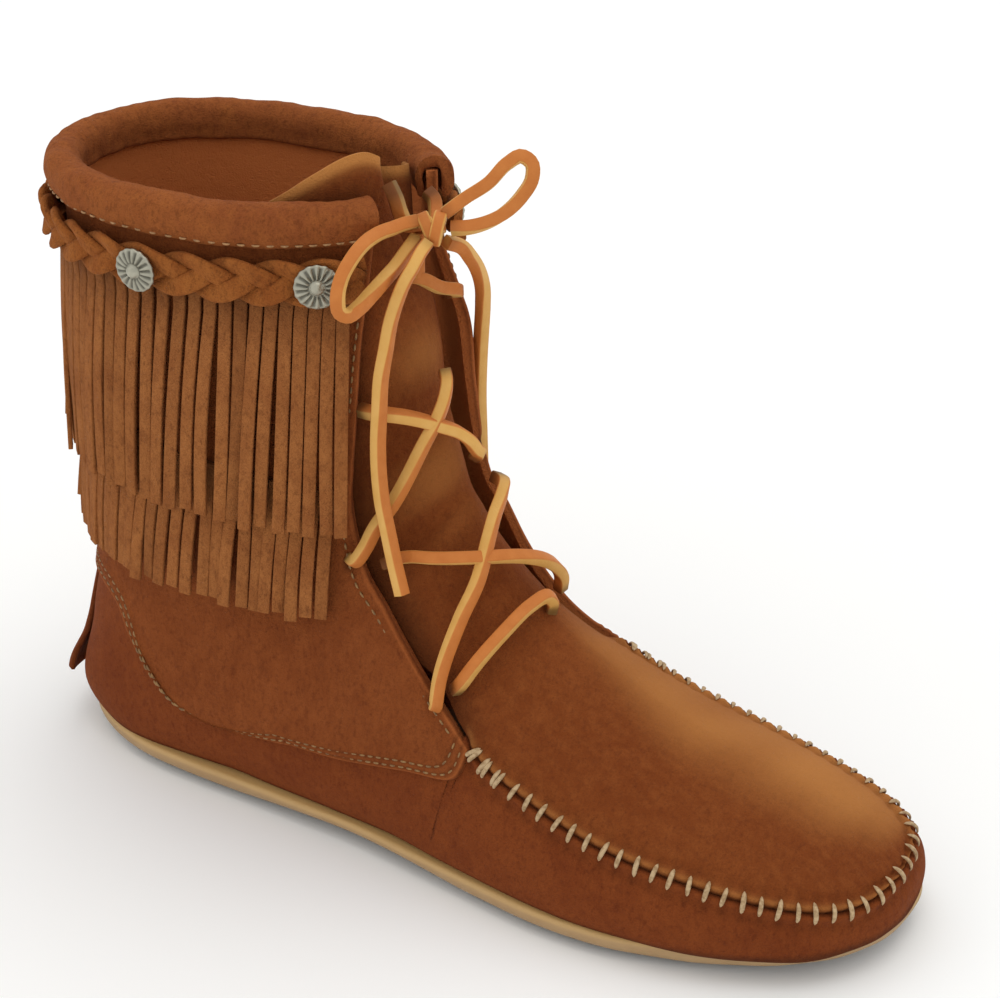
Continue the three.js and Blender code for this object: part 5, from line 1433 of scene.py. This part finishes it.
def add_heel_tab():
    """The stiff strip up the heel, its foot standing off."""
    i = np.linspace(0, 1, 60)[:, None]
    j = edge_shares(25, [0, 0.3, 0.8, 1.5], TAB_WIDTH)[None, :]
    none = 0 * i[:, 0]
    u = find(lambda x: last(x, 0.0)[..., 2], lerp(TAB_FOOT, TAB_TOP, i[:, 0]), 0.5 + none, 1.1 + none)
    half = lerp(TAB_FOOT_HALF, TAB_TOP_HALF, i) / (SHAFT_ROUND / 2)
    u, v = u[:, None] + 0 * j, lerp(half, -half, j)
    edge = np.minimum(np.minimum(j, 1 - j) * TAB_WIDTH, np.minimum(i, 1 - i) * (TAB_TOP - TAB_FOOT))
    stand = SEAT_GAP + SAG + TAB_STAND * (1 - step(i, 0, 0.4)) - 0.1 + 0 * j
    crown = 0.9 * bell(j, 0.5, 0.16) * (1 - step(i, 0.1, 0.9))
    thick = TAB_WALL - 0.9 * (1 - np.clip(edge / 0.9, 0, 1)) ** 2
    outer, inner = on_last(u, v, stand + thick + crown), on_last(u, v, stand)
    # Painted shade at the edge, lighter just inside it
    shade = 0.3 * (1 - step(edge, 0, 0.6))
    wear_and_highlight = 0.4 * (1 - step(edge, 0.6, 1.6)) * step(edge, 0.3, 0.6)
    return shell("heel_strip", outer, inner, VAMP_SUEDE, {"shade": shade, "wear_and_highlight": wear_and_highlight})


# The laces: how much their corners are rounded, and the spacing of their points
LACE_ROUND, BAR_SPACING, CORD_SPACING = 0.5, 0.8, 1.0


def add_lace_bars(name, bars):
    """Bars of the lace, each dipped into the leather at its ends."""
    lines, facings, shades = [], [], []
    for twist, places in bars:
        u, v, lift = np.array(places).T
        points, normals = on_upper(u, v, lift), last_normal(u, v)
        line = smooth_line(points, BAR_SPACING)
        run, whole = run_of(line), run_of(points)
        share = run / run[-1] * whole[-1]
        lines.append(line)
        facings.append(turned(line, unit(columns_at(share, whole, normals)), np.full(len(line), twist)))
        # Painted shade where the bar dips into the leather
        shades.append(0.75 * (1 - step(np.interp(share, whole, lift), 0, 2.6)))
    return straps(name, lines, facings, LACE, LACE, LACE_ROUND, RAWHIDE, None, shades)


def turned(line, facing, degrees):
    """The facing turned round a line by angles, at right angles to it."""
    along = unit(np.gradient(line, axis=0))
    facing = unit(facing - along * np.einsum("ij,ij->i", facing, along)[:, None])
    angle = np.radians(degrees)[:, None]
    return facing * np.cos(angle) + np.cross(along, facing) * np.sin(angle)


def add_cord(name, route, turns, node_name, shade_ends):
    """A free part of the lace, swept along its route."""
    line = smooth_line(route, CORD_SPACING)
    run = run_of(line)
    degrees = smooth_rows(np.array(turns)[:, None], np.linspace(0, run[-1], len(turns)), run)[:, 0]
    side = turned(line, np.broadcast_to(OUTER_FRONT, line.shape), degrees)
    shade = shade_ends[0] * (1 - step(run, 0, 4)) + shade_ends[1] * step(run, run[-1] - 4, run[-1])
    piece = straps(name, [line], [side], LACE, LACE, LACE_ROUND, RAWHIDE, None, [shade])
    ride(piece, "lace", node_name)


# The knot's turns of lace: half its height and depth, how far it stands aside, how it
# leans in degrees, its width as a share of the lace's and its shade
KNOT_TURNS = [
    (3.3, 2.6, 0.9, 12, 1.2, 0.0), (3.0, 2.1, -1.6, -24, 1.05, 0.12), (1.5, 2.3, 0.2, 78, 1.0, 0.2),
]
KNOT_POINTS = 44


def add_knot():
    """The knot: short turns of the lace wound over each other."""
    across = unit(np.cross([0, 0, 1.0], OUTER_FRONT))
    up = np.cross(OUTER_FRONT, across)
    a = np.linspace(0, TURN * 0.97, KNOT_POINTS)[:, None] + 0.5 * math.pi
    lines, facings, sizes, shades = [], [], [], []
    for tall, deep, aside, lean, size, shade in KNOT_TURNS:
        axis = up * math.cos(math.radians(lean)) + across * math.sin(math.radians(lean))
        ring = axis * np.sin(a) * tall + OUTER_FRONT * np.cos(a) * deep
        lines.append(np.array(KNOT) + across * aside + ring)
        facings.append(unit(axis * np.sin(a) / tall + OUTER_FRONT * np.cos(a) / deep))
        sizes.append(np.full(KNOT_POINTS, size))
        shades.append(np.full(KNOT_POINTS, shade))
    return straps("lace_bow_knot", lines, facings, LACE, LACE * 0.8, 0.6, RAWHIDE, sizes, shades)


def outline_points(count):
    """The sole's outline as a closed Catmull-Rom curve, at even spacing."""
    rows = np.array(OUTLINE) * [LENGTH, BALL_WIDTH] - [HEEL_SET, 0]
    t = np.linspace(0, len(rows), 4000, endpoint=False)
    i = np.floor(t).astype(int)
    w = (t - i)[:, None]
    p0, p1, p2, p3 = (rows[(i + k) % len(rows)] for k in (-1, 0, 1, 2))
    m1, m2 = (p2 - p0) / 2, (p3 - p1) / 2
    line = (2 * w**3 - 3 * w**2 + 1) * p1 + (w**3 - 2 * w**2 + w) * m1
    line = line + (3 * w**2 - 2 * w**3) * p2 + (w**3 - w**2) * m2
    loop = np.vstack([line, line[:1]])
    run = run_of(loop)
    at = np.linspace(0, run[-1], count, endpoint=False)
    return columns_at(at, run, loop)


def spring_z(x):
    """How far the toe's spring lifts the sole."""
    return sole_z(x) - SOLE_TOP


def arch_z(x):
    """How far the sole's underside rises at the waist."""
    share = (x + HEEL_SET) / LENGTH
    return ARCH_RISE * step(share, 0.24, 0.36) * (1 - step(share, 0.46, 0.58))


# Layers of the sole's side: height as a share of its body, growth, share of the arch
SOLE_SIDE = [
    (0.0, -14.0, 1), (0.0, -5.0, 1), (0.0, -3.2, 1), (0.04, -2.3, 1), (0.13, -1.3, 1), (0.28, -0.45, 1),
    (0.45, 0.1, 0.6), (0.62, 0.45, 0.2), (0.76, 0.5, 0), (0.86, 0.3, 0), (0.95, -0.1, 0), (1.0, -0.9, 0),
    (1.0, -3.5, 0),
]


def add_sole():
    """The rubber sole's body, with its rounded, slightly wavy side."""
    outline = outline_points(520)
    x, y = outline.T
    along = np.roll(outline, -1, 0) - np.roll(outline, 1, 0)
    out = unit(np.column_stack([along[:, 1], -along[:, 0]]))
    if ((outline - outline.mean(0)) * out).sum() < 0:
        out = -out
    rings, rims, shades = [], [], []
    for level, grow, arch_share in SOLE_SIDE:
        wave = 0.12 * np.sin(x * 0.21 + y * 0.3) if 0.1 < level < 0.9 else 0 * x
        z = LUG_HEIGHT + level * SOLE_BODY + spring_z(x) + arch_share * arch_z(x)
        rings.append(np.column_stack([outline + out * grow + out * wave[:, None], z]))
        rims.append(np.full(len(outline), float(step(level, 0.72, 0.95))))
        # Painted shade along the lowest part of the side
        shades.append(np.full(len(outline), float(0.75 * (1 - step(level, 0.0, 0.3)))))
    points = np.concatenate(rings)
    faces = facing_out(points, capped_faces(len(rings), len(outline)), points.mean(0))
    values = {"rim": np.concatenate(rims), "shade": np.concatenate(shades)}
    return new_object("sole_body", new_mesh("sole_body", points, faces, values), RUBBER)


# A lug's profile, foot to root, as radius and height; its sides; its shade
LUG_PROFILE = [(3.2, 0.0), (3.8, 0.45), (4.1, 1.6), (4.3, 3.0)]
LUG_SIDES, LUG_SHADE = 28, 0.7


def lug_places():
    """Staggered rows of places under the heel and forefoot, clear of the sole's edge."""
    outline = outline_points(800)
    places = []
    for row in range(-2, 14):
        x = row * LUG_PITCH * math.sin(math.pi / 3)
        off_sole = x < -HEEL_SET + LUG_MARGIN or x > LENGTH - HEEL_SET - LUG_MARGIN
        if off_sole or arch_z(x) > 0 or spring_z(x) > 0.45 * TOE_SPRING:
            continue
        near = outline[np.abs(outline[:, 0] - x) < 1.0]
        low, high = near[:, 1].min(), near[:, 1].max()
        for k in range(-4, 5):
            y = k * LUG_PITCH + (LUG_PITCH / 2 if row % 2 else 0)
            if low + LUG_MARGIN < y < high - LUG_MARGIN:
                places.append((x, y, spring_z(x)))
    return np.array(places)


def add_lugs():
    """Round rubber lugs under the heel and forefoot."""
    around = range(LUG_SIDES)
    turns = np.linspace(0, TURN, LUG_SIDES, endpoint=False)
    points = [(0, 0, 0)]
    points += [(r * math.cos(t), r * math.sin(t), z) for r, z in LUG_PROFILE for t in turns]
    points += [(0, 0, LUG_PROFILE[-1][1])]
    root = 1 + (len(LUG_PROFILE) - 1) * LUG_SIDES
    faces = [(0, 1 + (k + 1) % LUG_SIDES, 1 + k) for k in around]
    faces += grid_faces(len(LUG_PROFILE), LUG_SIDES, True, 1).tolist()
    faces += [(len(points) - 1, root + k, root + (k + 1) % LUG_SIDES) for k in around]
    mesh = new_mesh("lug", points, faces, {"shade": np.full(len(points), LUG_SHADE)})
    places = lug_places()
    out, along = (np.tile(axis, (len(places), 1)) for axis in ([0, 0, 1.0], [1.0, 0, 0]))
    return scatter("sole_lugs", bpy.data.objects.new("lug", mesh), places, out, along, RUBBER)


# The lace's knot, loops and free ends, then its bars
knot_piece = ride(add_knot(), "lace", "lace_knot")
add_cord("lace_bow_back", LOOP_BACK, LOOP_BACK_TURNS, "lace_loop_back", (0.3, 0.3))
add_cord("lace_bow_front", LOOP_FRONT, LOOP_FRONT_TURNS, "lace_loop_front", (0.3, 0.3))
add_cord("lace_tail_front", END_FRONT, END_FRONT_TURNS, "lace_end_front", (0.3, 0.1))
add_cord("lace_tail_back", END_BACK, END_BACK_TURNS, "lace_end_back", (0.3, 0.0))

ride(add_lace_bars("lace_bars", CROSSINGS), "lace", "lace_crossings")
ride(add_lace_bars("lace_upper_bars", TOP_BARS), "lace", "lace_top")

ride(add_wrap(), "suede", "upper")
ride(add_plug(), "suede", "tongue")
ride(add_quarter(), "suede")
ride(add_seam_stitches(), "suede")
ride(add_quarter_stitches(), "suede")
ride(add_heel_tab(), "suede", "heel_tab")
ride(add_cuff(), "suede", "cuff")
ride(add_cuff_stitches(), "suede")
ride(add_braid(), "braid", "braid")
for place, share in CONCHOS:
    ride(add_concho("button_" + place, share), "button", "concho_" + place)
lower = add_fringe(
    "fringe_lower", LOWER_TOP, LOWER_LENGTH, SHORT_LAY, lower_clearance, flare=1, seed=31, back_flare=8
)
ride(lower, "fringe", "fringe_short")
upper = add_fringe(
    "fringe_upper", UPPER_TOP, UPPER_LENGTH, LONG_LAY, upper_clearance, flare=1.5, seed=32, back_flare=4
)
ride(upper, "fringe", "fringe_long")
ride(add_sole(), "rubber", "outsole")
ride(add_lugs(), "rubber")

# The footbed stays the frame's own solid
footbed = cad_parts["insole"].data
footbed.materials.clear()
footbed.materials.append(LINING)

# The floor's reach in millimetres, the world's light, and the softboxes: place, size,
# watts and tint, all aimed at the boot's middle
FLOOR_REACH, WORLD_LIGHT = 6000, 0.97
SOFTBOXES = {
    "key": ((0.15, 0.24, 2.2), 2.0, 11, (1, 0.97, 0.93)),
    "fill": ((-0.9, -0.9, 0.9), 1.4, 1.5, (1, 0.98, 0.96)),
}
AIM = Vector((0.1, 0, 0.08))


def add_floor():
    """A pale matt floor."""
    material, _, shader = new_material("paper_floor")
    shader.inputs["Base Color"].default_value = colour("#fafaf9")
    shader.inputs["Roughness"].default_value = 1.0
    shader.inputs["Specular IOR Level"].default_value = 0.0
    corners = [(x * FLOOR_REACH, y * FLOOR_REACH, 0) for x, y in ((-1, -1), (1, -1), (1, 1), (-1, 1))]
    floor = new_object("floor", new_mesh("floor", corners, [(0, 1, 2, 3)]), material)


def add_light():
    """Soft studio light: a pale world and two softboxes."""
    world = bpy.data.worlds.new("studio")
    world.use_nodes = True
    background = world.node_tree.nodes["Background"]
    background.inputs["Color"].default_value = colour("#f6f7f7")
    background.inputs["Strength"].default_value = WORLD_LIGHT
    bpy.context.scene.world = world
    for name, (place, size, power, tint) in SOFTBOXES.items():
        data = bpy.data.lights.new(name, "AREA")
        data.shape, data.size, data.energy, data.color = "DISK", size, power, tint
        light = bpy.data.objects.new(name, data)
        light.location = place
        light.rotation_euler = (AIM - Vector(place)).to_track_quat("-Z", "Y").to_euler()
        bpy.context.scene.collection.objects.link(light)
    bpy.context.scene.view_settings.view_transform = "Standard"
    bpy.context.scene.view_settings.look = "None"


add_floor()
add_light()
